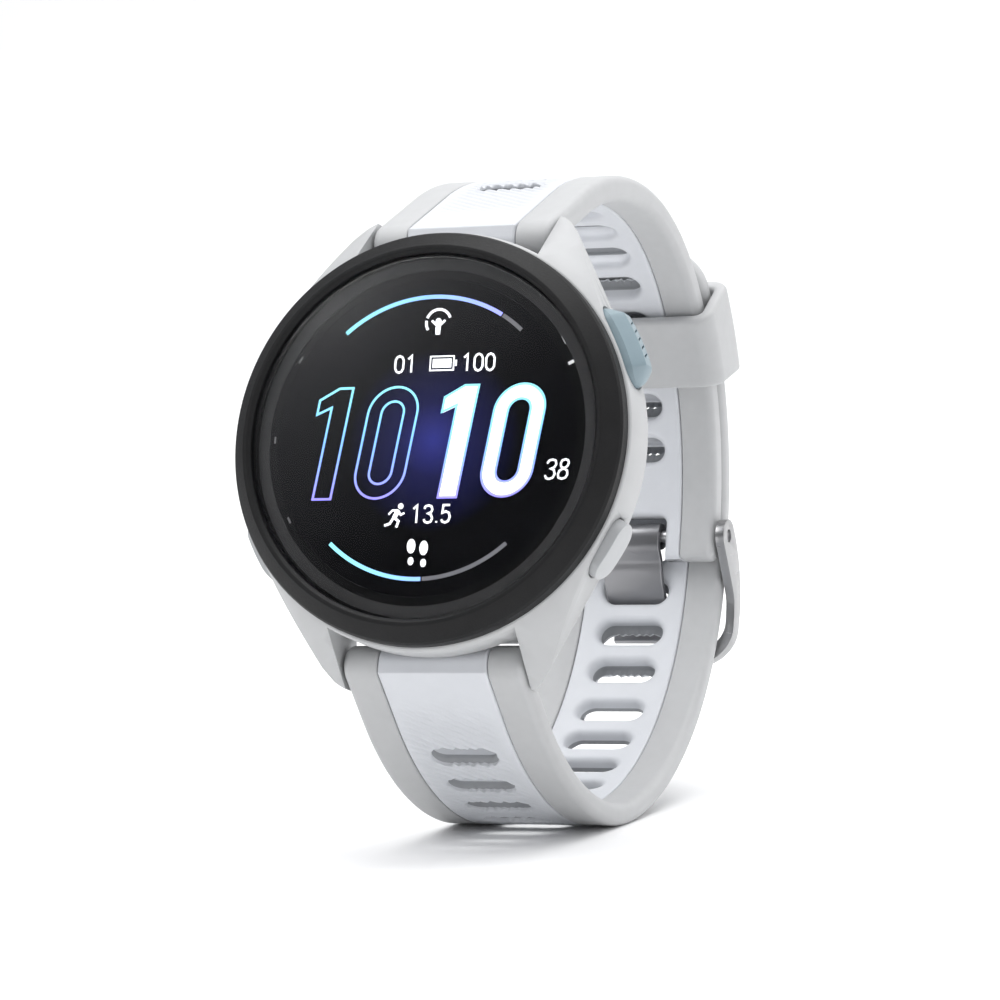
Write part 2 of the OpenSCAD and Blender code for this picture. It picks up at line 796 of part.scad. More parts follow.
// A path's corner moved sideways by d, so that both segments beside it move by d.
function beside(p, i, d) =
  let (last = len(p) - 1, a = unit(p[max(i, 1)] - p[max(i, 1) - 1]),
       b = unit(p[min(i + 1, last)] - p[min(i, last - 1)]), n = unit([-a[1] - b[1], a[0] + b[0]]))
  p[i] + n * d / (n * [-b[1], b[0]]);

module buckle_tongue() {
  last = len(tongue_path) - 1;
  color("#6f7276") stand() across(-tongue_w / 2, tongue_w / 2) difference() {
    polygon(concat(arc(pivot, roll_r, roll_end, 540),
      [for (i = [1:last]) beside(tongue_path, i, -tongue_t / 2)],
      [for (i = [last:-1:2]) beside(tongue_path, i, tongue_t / 2)]));
    translate(pivot) circle(pivot_bore_r, $fn = 64);
  }
}

module keeper_loop() {
  color("#cdcecf") stand() turn_about(far_top, keeper_mid - keeper_half, 2 * keeper_half) difference() {
    keeper_section(keeper_wall, 2.2);
    keeper_section(0, 0.9);
  }
}

// The keeper's rounded outline: the strap stack grown by a clearance and a wall.
module keeper_section(wall, edge) {
  r0 = far_top_r - upper_t - keeper_clear - wall;
  r1 = tail_r + keeper_clear + wall;
  half = strap_w / 2 + keeper_clear + wall;
  translate([r0 + edge, -half]) square([r1 - r0 - 2 * edge, 2 * half]);
  translate([r0, -half + edge]) square([r1 - r0, 2 * half - 2 * edge]);
  for (r = [r0 + edge, r1 - edge], x = [-half + edge, half - edge]) translate([r, x]) circle(edge, $fn = 48);
}

bezel_ring();
cover_glass();
glass_gasket();
display_module();
display_flex();
inner_frame();
main_case();
rear_cover();
rear_gasket();
cover_screws();
sensor_window();
sensor_board();
sensor_emitters();
charge_contacts();
main_board();
board_chips();
shield_can();
battery();
vibration_motor();
buzzer();
antenna_ring();
button_switches();
button_seals();
button_light();
stem_clip(LIGHT);  // clip_light
button_up();
stem_clip(UP);  // clip_up
button_down();
stem_clip(DOWN);  // clip_down
button_start();
stem_clip(START);  // clip_start
button_back();
stem_clip(BACK);  // clip_back
strap_upper_rails();
strap_upper_insert();
spring_bar_upper();
release_pin_upper();
release_spring_upper();
buckle_pivot();
strap_lower_rails();
strap_lower_insert();
spring_bar_lower();
release_pin_lower();
release_spring_lower();
buckle_frame();
buckle_tongue();
keeper_loop();
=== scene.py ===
"""A round running watch standing on its buckled two-tone silicone strap.

Side coordinates (u, v), in millimetres: u is the depth behind the bezel's front and v runs to 12 o'clock;
x runs to 3 o'clock. row() turns them into the row frame in metres.
"""
import json
import math
import bmesh
import bpy
from mathutils import Matrix, Vector


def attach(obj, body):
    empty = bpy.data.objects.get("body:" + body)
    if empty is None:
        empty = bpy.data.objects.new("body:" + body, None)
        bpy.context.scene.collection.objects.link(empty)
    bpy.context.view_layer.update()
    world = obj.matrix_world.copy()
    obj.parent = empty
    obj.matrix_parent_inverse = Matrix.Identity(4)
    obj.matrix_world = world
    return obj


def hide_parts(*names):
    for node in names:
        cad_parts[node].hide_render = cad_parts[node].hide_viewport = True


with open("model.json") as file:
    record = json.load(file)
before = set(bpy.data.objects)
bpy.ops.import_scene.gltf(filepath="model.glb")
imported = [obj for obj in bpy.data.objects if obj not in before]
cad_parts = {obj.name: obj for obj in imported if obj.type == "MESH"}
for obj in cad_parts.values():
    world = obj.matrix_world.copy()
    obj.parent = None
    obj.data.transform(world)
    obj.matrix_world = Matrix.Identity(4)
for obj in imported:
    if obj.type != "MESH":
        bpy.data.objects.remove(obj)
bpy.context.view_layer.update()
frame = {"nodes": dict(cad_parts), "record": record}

MM = 0.001
LEAN = math.radians(16)
CL, SL = math.cos(LEAN), math.sin(LEAN)

# ---------------------------------------------------------------- the strap's design, as in the CAD part
BAR = (9.2, 22.4)
KNOB_R = 2.15
BAR_BORE_R = 0.8
INSERT_HALF = 6.1
STRAP_HALF = 10.1
UPPER_T, LOWER_T, STRAP_GAP = 2.8, 2.4, 0.3
PITCH = 5.4
PIVOT, HOLE_R = (61.7, 1.4), 0.74


def sd(a):
    return math.sin(math.radians(a))


def cd(a):
    return math.cos(math.radians(a))


def front_r(top, a):
    """The radius of the arc between a strap half's straight start and its highest or lowest point."""
    return (KNOB_R - BAR[0] * sd(a) + BAR[1] * cd(a) + top[0] * sd(a) - top[1] * cd(a)) / (1 - cd(a))


def line_length(top, r, a):
    """The length of the straight start of a strap half."""
    along_u = (top[0] - r * sd(a) - BAR[0] + KNOB_R * sd(a)) * cd(a)
    return along_u + (top[1] - r * (1 - cd(a)) - BAR[1] - KNOB_R * cd(a)) * sd(a)


UP_TOP, UP_ANGLE = (34.45, 34.95), 33
UP_FRONT_R = front_r(UP_TOP, UP_ANGLE)
UP_FRONT = (UP_TOP[0], UP_TOP[1] - UP_FRONT_R)
UP_BACK_R, UP_BACK = 26, (34.45, 8.95)
FAR_R, FAR_TURN = 34, 48
FAR = (UP_BACK[0] - 8 * cd(FAR_TURN), UP_BACK[1] - 8 * sd(FAR_TURN))
UP_END_V = -1.4
LO_BOTTOM, LO_ANGLE = (33.8, 35.15), 38
LO_FRONT_R = front_r(LO_BOTTOM, LO_ANGLE)
LO_FRONT = (LO_BOTTOM[0], LO_FRONT_R - LO_BOTTOM[1])
LO_MID_R = 24
LO_MID = (LO_BOTTOM[0], LO_MID_R - LO_BOTTOM[1])
LO_BACK_R = 38
LO_BACK = (LO_MID[0] - 14 * sd(22), LO_MID[1] + 14 * cd(22))
TAIL_R = FAR_R + STRAP_GAP + LOWER_T
TAIL_TURN, TIP_L = 55, 6.0
FAR_LOW_R = (FAR[0] + TAIL_R - LO_BACK[0] - LO_BACK_R * cd(45)) / (1 - cd(45))
FAR_LOW = (LO_BACK[0] + (LO_BACK_R - FAR_LOW_R) * cd(45), LO_BACK[1] - (LO_BACK_R - FAR_LOW_R) * sd(45))
LOWEST = -(LO_BOTTOM[0] + LO_MID_R * SL) * SL - (LO_BOTTOM[1] - LO_MID_R * (1 - CL)) * CL
STAND_FRONT = -19.8 * SL
STAND_BACK = FAR[0] * CL + FAR[1] * SL + (TAIL_R + 1.8) * math.cos(math.radians(28.5) - LEAN)
STAND_Y = -(STAND_FRONT + STAND_BACK) / 2


def row(u, v, x):
    """A point of the row frame, in metres."""
    return Vector((x, v * SL + u * CL + STAND_Y, v * CL - u * SL - LOWEST)) * MM


# ---------------------------------------------------------------- camera and light
def camera():
    """The view: in front, a little above and to the right."""
    right0, up0 = Vector((0.920, 0.3919, 0)), Vector((0.0745, -0.1748, 0.9818))
    back = Vector((0.3848, -0.9033, -0.1900))
    roll = math.radians(3.71)
    right = right0 * math.cos(roll) + up0 * math.sin(roll)
    up = up0 * math.cos(roll) - right0 * math.sin(roll)
    seat = right * 8.205 - up * 6.734 + back * 446.25

    def turn(w):
        return Vector((w[0], w[2] * SL + w[1] * CL, w[2] * CL - w[1] * SL))

    data = bpy.data.cameras.new("camera")
    data.lens, data.sensor_width, data.clip_start = 158.4, 36, 0.01
    cam = bpy.data.objects.new("camera", data)
    axes = Matrix([turn(right), turn(up), turn(back)]).transposed()
    cam.matrix_world = Matrix.Translation(row(seat[1], seat[2], seat[0])) @ axes.to_4x4()
    bpy.context.scene.collection.objects.link(cam)
    bpy.context.scene.camera = cam


def area_light(name, at, aim, size, power, colour=(1, 1, 1)):
    data = bpy.data.lights.new(name, "AREA")
    data.shape, data.size, data.energy, data.color = "SQUARE", size, power, colour
    o = bpy.data.objects.new(name, data)
    o.location = at
    o.rotation_euler = (Vector(aim) - Vector(at)).to_track_quat("-Z", "Y").to_euler()
    bpy.context.scene.collection.objects.link(o)


def studio():
    """An even pale studio with soft light from the upper left."""
    world = bpy.data.worlds.new("studio")
    bpy.context.scene.world = world
    world.use_nodes = True
    world.node_tree.nodes["Background"].inputs["Color"].default_value = (0.93, 0.95, 1, 1)
    world.node_tree.nodes["Background"].inputs["Strength"].default_value = 0.3
    bpy.context.scene.view_settings.view_transform = "Standard"
    backdrop()
    area_light("key", (-0.34, -0.3, 0.52), (0, 0, 0.03), 0.4, 1.75)
    area_light("fill", (0.5, -0.3, 0.25), (0, 0, 0.03), 0.5, 0.75)
    area_light("top", (0.05, 0.12, 0.6), (0, 0.01, 0.03), 0.5, 1.3)
    area_light("back_rim", (0.35, 0.4, 0.3), (0, 0, 0.03), 0.3, 0.7)
    area_light("wall_wash", (0, 0.1, 1.2), (0, 0.9, 0.3), 1.2, 13)


def backdrop():
    """A plain pale sheet: floor in front, curving up behind."""
    bm = bmesh.new()
    bend, far = 0.9, 0.3
    line = [(-2.0, 0.0), (far, 0.0)] + [(far + bend * sd(a), bend - bend * cd(a)) for a in range(6, 91, 6)]
    line.append((far + bend, 3.0))
    rows = [[bm.verts.new((x, y, z)) for y, z in line] for x in (-3, 3)]
    for i in range(len(line) - 1):
        bm.faces.new([rows[0][i], rows[1][i], rows[1][i + 1], rows[0][i + 1]])
    me = bpy.data.meshes.new("floor")
    bm.to_mesh(me)
    bm.free()
    me.polygons.foreach_set("use_smooth", [True] * len(me.polygons))
    floor = bpy.data.objects.new("floor", me)
    bpy.context.scene.collection.objects.link(floor)
    floor.data.materials.append(principled("floor_paper", (0.95, 0.95, 0.95), 0.9))


# ---------------------------------------------------------------- materials
def principled(name, colour, rough, metal=0.0, **sockets):
    """A plain surface; further sockets are given by name with underscores."""
    m = bpy.data.materials.new(name)
    m.use_nodes = True
    b = m.node_tree.nodes["Principled BSDF"]
    b.inputs["Base Color"].default_value = (*colour, 1)
    b.inputs["Roughness"].default_value = rough
    b.inputs["Metallic"].default_value = metal
    for key, value in sockets.items():
        b.inputs[key.replace("_", " ")].default_value = value
    return m


def grain(m, scale, bump=0.0, vary=0.0, rough_vary=0.0, stretch=(1, 1, 1), distance=0.00004, detail=4):
    """Adds fine procedural grain: bump, a little colour variation and uneven roughness."""
    t = m.node_tree
    b = t.nodes["Principled BSDF"]
    coord = t.nodes.new("ShaderNodeTexCoord")
    mapping = t.nodes.new("ShaderNodeMapping")
    mapping.inputs["Scale"].default_value = stretch
    t.links.new(coord.outputs["Object"], mapping.inputs["Vector"])
    fine = t.nodes.new("ShaderNodeTexNoise")
    fine.inputs["Scale"].default_value = scale
    fine.inputs["Detail"].default_value = detail
    t.links.new(mapping.outputs["Vector"], fine.inputs["Vector"])
    if bump:
        n = t.nodes.new("ShaderNodeBump")
        n.inputs["Strength"].default_value = bump
        n.inputs["Distance"].default_value = distance
        t.links.new(fine.outputs["Fac"], n.inputs["Height"])
        t.links.new(n.outputs["Normal"], b.inputs["Normal"])
    if vary:
        wide = t.nodes.new("ShaderNodeTexNoise")
        wide.inputs["Scale"].default_value = scale / 14
        t.links.new(mapping.outputs["Vector"], wide.inputs["Vector"])
        ramp = t.nodes.new("ShaderNodeValToRGB")
        c = b.inputs["Base Color"].default_value[:3]
        ramp.color_ramp.elements[0].position, ramp.color_ramp.elements[1].position = 0.3, 0.7
        ramp.color_ramp.elements[0].color = (*[x * (1 - vary) for x in c], 1)
        ramp.color_ramp.elements[1].color = (*[min(1, x * (1 + vary)) for x in c], 1)
        t.links.new(wide.outputs["Fac"], ramp.inputs["Fac"])
        t.links.new(ramp.outputs["Color"], b.inputs["Base Color"])
    if rough_vary:
        r = b.inputs["Roughness"].default_value
        span = t.nodes.new("ShaderNodeMapRange")
        span.inputs["To Min"].default_value = r - rough_vary
        span.inputs["To Max"].default_value = r + rough_vary
        t.links.new(fine.outputs["Fac"], span.inputs["Value"])
        t.links.new(span.outputs["Result"], b.inputs["Roughness"])
    return m


GREY = (0.455, 0.46, 0.465)
M = {
    "grey_silicone": grain(principled("grey_silicone", GREY, 0.55, Sheen_Weight=0.08), 9000, 0.25, 0.02, 0.05),
    "white_silicone": grain(principled("white_silicone", (0.615, 0.63, 0.66), 0.5, Sheen_Weight=0.05),
                            7000, 0.35, 0.015, 0.05),
    "light_case": grain(principled("light_case", (0.455, 0.46, 0.465), 0.46), 6000, 0.18, 0.015, 0.04),
    "rear_cover": grain(principled("rear_cover", (0.48, 0.49, 0.5), 0.5), 6000, 0.2, 0.02, 0.04),
    "light_button": grain(principled("light_button", (0.44, 0.45, 0.46), 0.42), 6000, 0.12, 0.015, 0.04),
    "start_key": grain(principled("start_key", (0.215, 0.285, 0.32), 0.45), 6000, 0.12, 0.03, 0.05),
    "black_bezel": grain(principled("black_bezel", (0.0075, 0.0075, 0.008), 0.5, Specular_IOR_Level=0.2),
                         5200, 0.6, 0.12, 0.1),
    "buckle_steel": grain(principled("buckle_steel", (0.36, 0.36, 0.365), 0.3, 1.0, Anisotropic=0.4),
                          900, 0.25, 0.08, 0.08, (0.12, 1, 1)),
    "tongue_steel": grain(principled("tongue_steel", (0.27, 0.27, 0.28), 0.34, 1.0, Anisotropic=0.5),
                          1400, 0.3, 0.1, 0.08, (0.08, 1, 1)),
    "screw_steel": grain(principled("screw_steel", (0.48, 0.48, 0.49), 0.3, 1.0), 3000, 0.15, 0.06, 0.08),
    "inner_metal": grain(principled("inner_metal", (0.5, 0.51, 0.53), 0.38, 1.0), 3000, 0.2, 0.05, 0.06),
    "battery_foil": grain(principled("battery_foil", (0.62, 0.63, 0.65), 0.35, 0.9), 900, 0.4, 0.05, 0.06),
    "gold": grain(principled("gold", (0.75, 0.53, 0.2), 0.28, 1.0), 4000, 0.1, 0.06, 0.06),
    "green_board": grain(principled("green_board", (0.015, 0.13, 0.06), 0.45), 2600, 0.3, 0.2, 0.08),
    "blue_board": grain(principled("blue_board", (0.02, 0.05, 0.16), 0.45), 2600, 0.3, 0.2, 0.08),
    "chip_black": grain(principled("chip_black", (0.015, 0.015, 0.017), 0.55), 5000, 0.2, 0.1, 0.05),
    "flex_foil": grain(principled("flex_foil", (0.45, 0.22, 0.06), 0.4), 2500, 0.1, 0.1, 0.05),
    "black_seal": grain(principled("black_seal", (0.02, 0.02, 0.02), 0.7), 4000, 0.3, 0.1, 0.05),
    "red_seal": grain(principled("red_seal", (0.3, 0.06, 0.035), 0.6), 4000, 0.3, 0.1, 0.05),
    "emitter_lens": grain(principled("emitter_lens", (0.1, 0.35, 0.12), 0.15), 3000, 0.05, 0.2, 0.05),
    "sensor_window": grain(principled("sensor_window", (0.012, 0.012, 0.016), 0.08, Coat_Weight=0.6),
                           900, 0.02, 0.2, 0.02),
    "display": grain(principled("display", (0.004, 0.004, 0.006), 0.3, Specular_IOR_Level=0.1),
                     3000, 0.02, 0.1, 0.04),
    "black_ink": grain(principled("black_ink", (0.002, 0.002, 0.0025), 0.5, Specular_IOR_Level=0.1),
                       3000, 0.02, 0.1, 0.04),
    # Painted shade: a darker grey for a band of the insert's slot walls, standing for the shade inside the slots.
    "slot_wall_painted_shade": grain(principled("slot_wall_painted_shade", (0.3, 0.31, 0.325), 0.6), 7000, 0.3, 0.04, 0.05),
}
M["keeper_silicone"] = M["grey_silicone"]
M["cover_glass"] = grain(
    principled("cover_glass", (0.97, 0.97, 0.98), 0.01, Transmission_Weight=1.0, IOR=1.03, Coat_Weight=1.0,
               Coat_Roughness=0.14, Coat_IOR=1.5), 260, 0.012, 0.01)


def painted_reflection_ramp(m, start, end, low, high):
    """A painted reflection: makes a material's coat fade from one point of the row frame to another."""
    t = m.node_tree
    coord = t.nodes.new("ShaderNodeTexCoord")
    dot = t.nodes.new("ShaderNodeVectorMath")
    dot.operation = "DOT_PRODUCT"
    way = end - start
    dot.inputs[1].default_value = way / way.length_squared
    t.links.new(coord.outputs["Object"], dot.inputs[0])
    span = t.nodes.new("ShaderNodeMapRange")
    span.interpolation_type = "SMOOTHSTEP"
    first = start.dot(way) / way.length_squared
    span.inputs["From Min"].default_value, span.inputs["From Max"].default_value = first, first + 1
    span.inputs["To Min"].default_value, span.inputs["To Max"].default_value = high, low
    t.links.new(dot.outputs["Value"], span.inputs["Value"])
    t.links.new(span.outputs["Result"], t.nodes["Principled BSDF"].inputs["Coat Weight"])


# Painted reflection on the cover glass: a strong coat at the upper left fading to almost none at the lower right.
painted_reflection_ramp(M["cover_glass"], row(0.5, 15, -12), row(0.5, -8, 7), 0.02, 0.9)

for item in frame["record"]["subparts"]:
    cad = frame["nodes"][item["node"]]
    cad.data.materials.clear()
    cad.data.materials.append(M[item["material_slot"]])


# ---------------------------------------------------------------- mesh helpers
def add_object(name, bm, body, slot, replaced=(), material=None, smooth=35):
    """Makes a piece that rides with a body and stands in for the CAD nodes it replaces."""
    bmesh.ops.recalc_face_normals(bm, faces=bm.faces[:])
    me = bpy.data.meshes.new(name)
    bm.to_mesh(me)
    bm.free()
    me.polygons.foreach_set("use_smooth", [True] * len(me.polygons))
    if smooth:
        me.set_sharp_from_angle(angle=math.radians(smooth))
    o = bpy.data.objects.new(name, me)
    bpy.context.scene.collection.objects.link(o)
    o.data.materials.append(material or M[slot])
    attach(o, body)
    if replaced:
        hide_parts(*replaced)
    return o


def soften(node, name, body, slot, width, segments=3, angle=30):
    """A copy of a CAD node with its hard edges rounded."""
    bm = bmesh.new()
    bm.from_mesh(frame["nodes"][node].data)
    bmesh.ops.remove_doubles(bm, verts=bm.verts[:], dist=2e-6)
    bmesh.ops.dissolve_limit(bm, angle_limit=math.radians(0.4), verts=bm.verts[:], edges=bm.edges[:])
    sharp = [e for e in bm.edges if len(e.link_faces) == 2 and e.calc_face_angle(0) > math.radians(angle)]
    bmesh.ops.bevel(bm, geom=sharp, offset=width * MM, segments=segments, profile=0.5, affect="EDGES",
                    clamp_overlap=True)
    bmesh.ops.remove_doubles(bm, verts=bm.verts[:], dist=1e-6)
    return add_object(name, bm, body, slot, (node,), smooth=40)


def lathe(profile, steps=256):
    """Turns (radius, depth) points about the dial's axis; the profile is a closed loop."""
    bm = bmesh.new()
    rings = []
    for i in range(steps):
        a = 2 * math.pi * i / steps
        rings.append([bm.verts.new(row(d, r * math.sin(a), r * math.cos(a))) for r, d in profile])
    n = len(profile)
    for i in range(steps):
        for j in range(n):
            a, b = rings[i], rings[(i + 1) % steps]
            bm.faces.new([a[j], b[j], b[(j + 1) % n], a[(j + 1) % n]])
    bmesh.ops.remove_doubles(bm, verts=bm.verts[:], dist=1e-7)
    bmesh.ops.dissolve_degenerate(bm, dist=1e-8, edges=bm.edges[:])
    return bm


def rounded(points, radii, steps=5):
    """Rounds the corners of a closed polygon."""
    out = []
    n = len(points)
    for i, (p, r) in enumerate(zip(points, radii)):
        if not r:
            out.append(p)
            continue
        p = Vector(p)
        a, b = Vector(points[i - 1]) - p, Vector(points[(i + 1) % n]) - p
        half = a.angle(b) / 2
        reach = min(r / math.tan(half), a.length * 0.49, b.length * 0.49)
        start, end = p + a.normalized() * reach, p + b.normalized() * reach
        for k in range(steps + 1):
            t = k / steps
            out.append(tuple(start * (1 - t) ** 2 + p * 2 * t * (1 - t) + end * t * t))
    return out


def extrude_side(outline, x0, x1):
    """A side-view outline of (u, v) points run along x."""
    bm = bmesh.new()
    low = [bm.verts.new(row(u, v, x0)) for u, v in outline]
    high = [bm.verts.new(row(u, v, x1)) for u, v in outline]
    n = len(outline)
    for i in range(n):
        bm.faces.new([low[i], low[(i + 1) % n], high[(i + 1) % n], high[i]])
    bm.faces.new(low)
    bm.faces.new(high[::-1])
    return bm


# ---------------------------------------------------------------- strap paths
class Path:
    """The outer line of a strap half, by distance from where it leaves the end knob."""

    def __init__(self, pieces):
        self.pieces = []
        at = 0
        for p in pieces:
            length = p[3] if p[0] == "line" else p[2] * abs(math.radians(p[4] - p[3]))
            self.pieces.append((at, length, p))
            at += length
        self.length = at

    def at(self, s):
        for start, length, p in self.pieces:
            if s <= start + length or p is self.pieces[-1][2]:
                break
        if p[0] == "line":
            _, origin, angle, _, way = p
            n = (cd(angle), sd(angle))
            return (origin[0] + way[0] * (s - start), origin[1] + way[1] * (s - start)), n
        _, c, r, a0, a1 = p
        a = a0 + (a1 - a0) * (s - start) / length
        return (c[0] + r * cd(a), c[1] + r * sd(a)), (cd(a), sd(a))

    def point(self, s, t):
        p, n = self.at(s)
        return p[0] - n[0] * t, p[1] - n[1] * t

    def solid(self, s, x, t):
        u, v = self.point(s, t)
        return row(u, v, x)


def upper_path():
    """The outer line of the upper half, from the top lugs to the buckle."""
    n = 90 + UP_ANGLE
    start = (BAR[0] + KNOB_R * cd(n), BAR[1] + KNOB_R * sd(n))
    length = line_length(UP_TOP, UP_FRONT_R, UP_ANGLE)
    return Path([
        ("line", start, n, length, (cd(UP_ANGLE), sd(UP_ANGLE))),
        ("arc", UP_FRONT, UP_FRONT_R, n, 90),
        ("arc", UP_BACK, UP_BACK_R, 90, FAR_TURN),
        ("arc", FAR, FAR_R, FAR_TURN, 0),
        ("line", (FAR[0] + FAR_R, FAR[1]), 0, FAR[1] - UP_END_V, (0, -1))])


def lower_path():
    """The outer line of the lower half, from the bottom lugs round to the tail's end."""
    n = 270 - LO_ANGLE
    start = (BAR[0] + KNOB_R * cd(n), -BAR[1] + KNOB_R * sd(n))
    length = line_length(LO_BOTTOM, LO_FRONT_R, LO_ANGLE)
    return Path([
        ("line", start, n, length, (cd(LO_ANGLE), -sd(LO_ANGLE))),
        ("arc", LO_FRONT, LO_FRONT_R, n, 270),
        ("arc", LO_MID, LO_MID_R, 270, 292),
        ("arc", LO_BACK, LO_BACK_R, 292, 315),
        ("arc", FAR_LOW, FAR_LOW_R, 315, 360),
        ("line", (FAR[0] + TAIL_R, FAR_LOW[1]), 0, FAR[1] - FAR_LOW[1], (0, 1)),
        ("arc", FAR, TAIL_R, 0, TAIL_TURN)])


def knob_angles(upper, thick, inset=0.0):
    """The angles that the knob's outline spans, from the strap's outer face round to its inner face."""
    n = 90 + UP_ANGLE if upper else 270 - LO_ANGLE
    inner = math.degrees(math.acos((KNOB_R - thick + inset) / (KNOB_R - inset)))
    return (n, n + 360 - inner) if upper else (n, n - 360 + inner)


def knob_point(upper, angle, inset=0.0):
    """A point on the round end that holds the spring bar."""
    r = KNOB_R - inset
    return BAR[0] + r * cd(angle), (BAR[1] if upper else -BAR[1]) + r * sd(angle)


def inner_start(path, upper, thick):
    """Where the inner face leaves the knob, as a distance along the path."""
    q = knob_point(upper, knob_angles(upper, thick)[1])
    p, _ = path.at(0)
    way = path.pieces[0][2][4]
    return (q[0] - p[0]) * way[0] + (q[1] - p[1]) * way[1]


def side_outline(path, upper, thick, end, end_round, inset=0.0):
    """The closed side view of a strap half, shrunk by an inset: outer face, end, inner face, knob."""
    step = 0.7
    n = int(end / step)
    r = max(end_round - inset, 0.01)
    stop = end - (inset if end_round else 0)
    outer = [path.point(i * (stop - r) / n, inset) for i in range(n + 1)]
    corner_a = [path.point(stop - r + r * sd(a), inset + r - r * cd(a)) for a in range(15, 91, 15)]
    corner_b = [path.point(stop - r + r * cd(a), thick - inset - r + r * sd(a)) for a in range(0, 76, 15)]
    normal, a1 = knob_angles(upper, thick, inset)
    q = knob_point(upper, a1, inset)
    start, _ = path.at(0)
    way = path.pieces[0][2][4]
    s0 = (q[0] - start[0]) * way[0] + (q[1] - start[1]) * way[1]
    inner = [path.point(stop - r + (s0 - stop + r) * i / n, thick - inset) for i in range(n + 1)]
    knob = [knob_point(upper, a1 + (normal - a1) * i / 60, inset) for i in range(1, 60)]
    return outer + corner_a + corner_b + inner + knob


def stack(bm, rings):
    """Joins a run of closed rings of vertices, and caps both ends."""
    n = len(rings[0])
    for a, b in zip(rings, rings[1:]):
        for i in range(n):
            bm.faces.new([a[i], a[(i + 1) % n], b[(i + 1) % n], b[i]])
    bm.faces.new(rings[0])
    bm.faces.new(rings[-1][::-1])


def bore(o, at, radius, half, sides=48):
    """Cuts a straight hole along x through a piece."""
    outline = [(at[0] + radius * cd(i * 360 / sides), at[1] + radius * sd(i * 360 / sides)) for i in range(sides)]
    cut(o, extrude_side(outline, -half, half))


def cut(o, cutter_bm):
    """Takes a closed shape away from a piece."""
    bmesh.ops.recalc_face_normals(cutter_bm, faces=cutter_bm.faces[:])
    me = bpy.data.meshes.new("cutter")
    cutter_bm.to_mesh(me)
    cutter_bm.free()
    c = bpy.data.objects.new("cutter", me)
    bpy.context.scene.collection.objects.link(c)
    mod = o.modifiers.new("cut", "BOOLEAN")
    mod.object, mod.operation, mod.solver = c, "DIFFERENCE", "EXACT"
    bpy.context.view_layer.update()
    done = bpy.data.meshes.new_from_object(o.evaluated_get(bpy.context.evaluated_depsgraph_get()))
    o.modifiers.clear()
    o.data = done
    bpy.data.objects.remove(c)
    bpy.data.meshes.remove(me)


RAIL_SEAM, RAIL_ROUND, SEAM_ROUND = 0.04, 0.85, 0.2
STRAP_CUT = 20


def rails(path, upper, thick, end, end_round, name, nodes):
    """The two grey rails, each a stack of side outlines that shrink towards its two rims."""
    bm = bmesh.new()
    for h in (-1, 1):
        layers = [(INSERT_HALF + RAIL_SEAM + SEAM_ROUND * (1 - cd(a)), SEAM_ROUND * (1 - sd(a)))
                  for a in (0, 30, 60, 90)]
        layers += [(STRAP_HALF - RAIL_ROUND * (1 - sd(a)), RAIL_ROUND * (1 - cd(a))) for a in range(0, 91, 10)]
        stack(bm, [[bm.verts.new(row(u, v, h * x))
                    for u, v in side_outline(path, upper, thick, end, end_round, inset)] for x, inset in layers])
    o = add_object(name, bm, "case", "grey_silicone", nodes, smooth=40)
    bore(o, (BAR[0], BAR[1] if upper else -BAR[1]), BAR_BORE_R, STRAP_CUT)
    return o


# ---------------------------------------------------------------- strap insert with ribs and slots
EDGE = 0.28
FACE_HALF = INSERT_HALF - EDGE - RAIL_SEAM
NX, NS = 64, 30
OUT_FILLET, IN_FILLET = 0.2, 0.75


def obround_ring(sc, length, width, grow, wave=0.0):
    """Points round a slot, in the order and number of the rectangle round it: NX, NS, NX, NS."""
    r = width / 2 + grow
    half = length / 2 - width / 2
    arc = r * math.pi / 4
    total = 2 * arc + 2 * half
    pts = []
    for side in (1, -1):
        for i in range(NX):
            d = total * i / NX
            if d < arc:
                a = math.radians(135) - d / r
                x, y = -half + r * math.cos(a), r * math.sin(a)
            elif d < arc + 2 * half:
                x, y = -half + d - arc, r
                y += wave * math.sin((d - arc) * 2 * math.pi / 0.84)
            else:
                a = math.radians(90) - (d - arc - 2 * half) / r
                x, y = half + r * math.cos(a), r * math.sin(a)
            pts.append((side * x, sc - side * y))
        for i in range(NS):
            a = math.radians(45 - 90 * i / NS)
            pts.append((side * (half + r * math.cos(a)), sc - side * r * math.sin(a)))
    return pts


def rect_ring(s0, s1):
    """Points round a stretch of the insert's face: NX, NS, NX, NS."""
    pts = [(-FACE_HALF + 2 * FACE_HALF * i / NX, s0) for i in range(NX)]
    pts += [(FACE_HALF, s0 + (s1 - s0) * i / NS) for i in range(NS)]
    pts += [(FACE_HALF - 2 * FACE_HALF * i / NX, s1) for i in range(NX)]
    pts += [(-FACE_HALF, s1 - (s1 - s0) * i / NS) for i in range(NS)]
    return pts


def notch_ring(s_top, s_end, half, radius, grow):
    """Points round an open notch, in the order of the three sides round it: NS, NX, NS."""
    h, top, r = half + grow, s_top - grow, radius + grow
    side_l = (s_end - top - r) + r * math.pi / 4
    pts = []
    for i in range(NS):
        d = side_l * i / NS
        if d < s_end - top - r:
            pts.append((-h, s_end - d))
        else:
            a = (d - (s_end - top - r)) / r
            pts.append((-h + r - r * math.cos(a), top + r - r * math.sin(a)))
    across_l = 2 * (h - r) + r * math.pi / 2
    for i in range(NX):
        d = across_l * i / NX
        if d < r * math.pi / 4:
            a = math.pi / 4 + d / r
            pts.append((-h + r - r * math.cos(a), top + r - r * math.sin(a)))
        elif d < r * math.pi / 4 + 2 * (h - r):
            pts.append((-h + r + d - r * math.pi / 4, top))
        else:
            a = (d - r * math.pi / 4 - 2 * (h - r)) / r
            pts.append((h - r + r * math.sin(a), top + r - r * math.cos(a)))
    for i in range(NS + 1):
        d = side_l * i / NS
        if d < r * math.pi / 4:
            a = math.pi / 4 + d / r
            pts.append((h - r + r * math.sin(a), top + r - r * math.cos(a)))
        else:
            pts.append((h, top + r + d - r * math.pi / 4))
    return pts


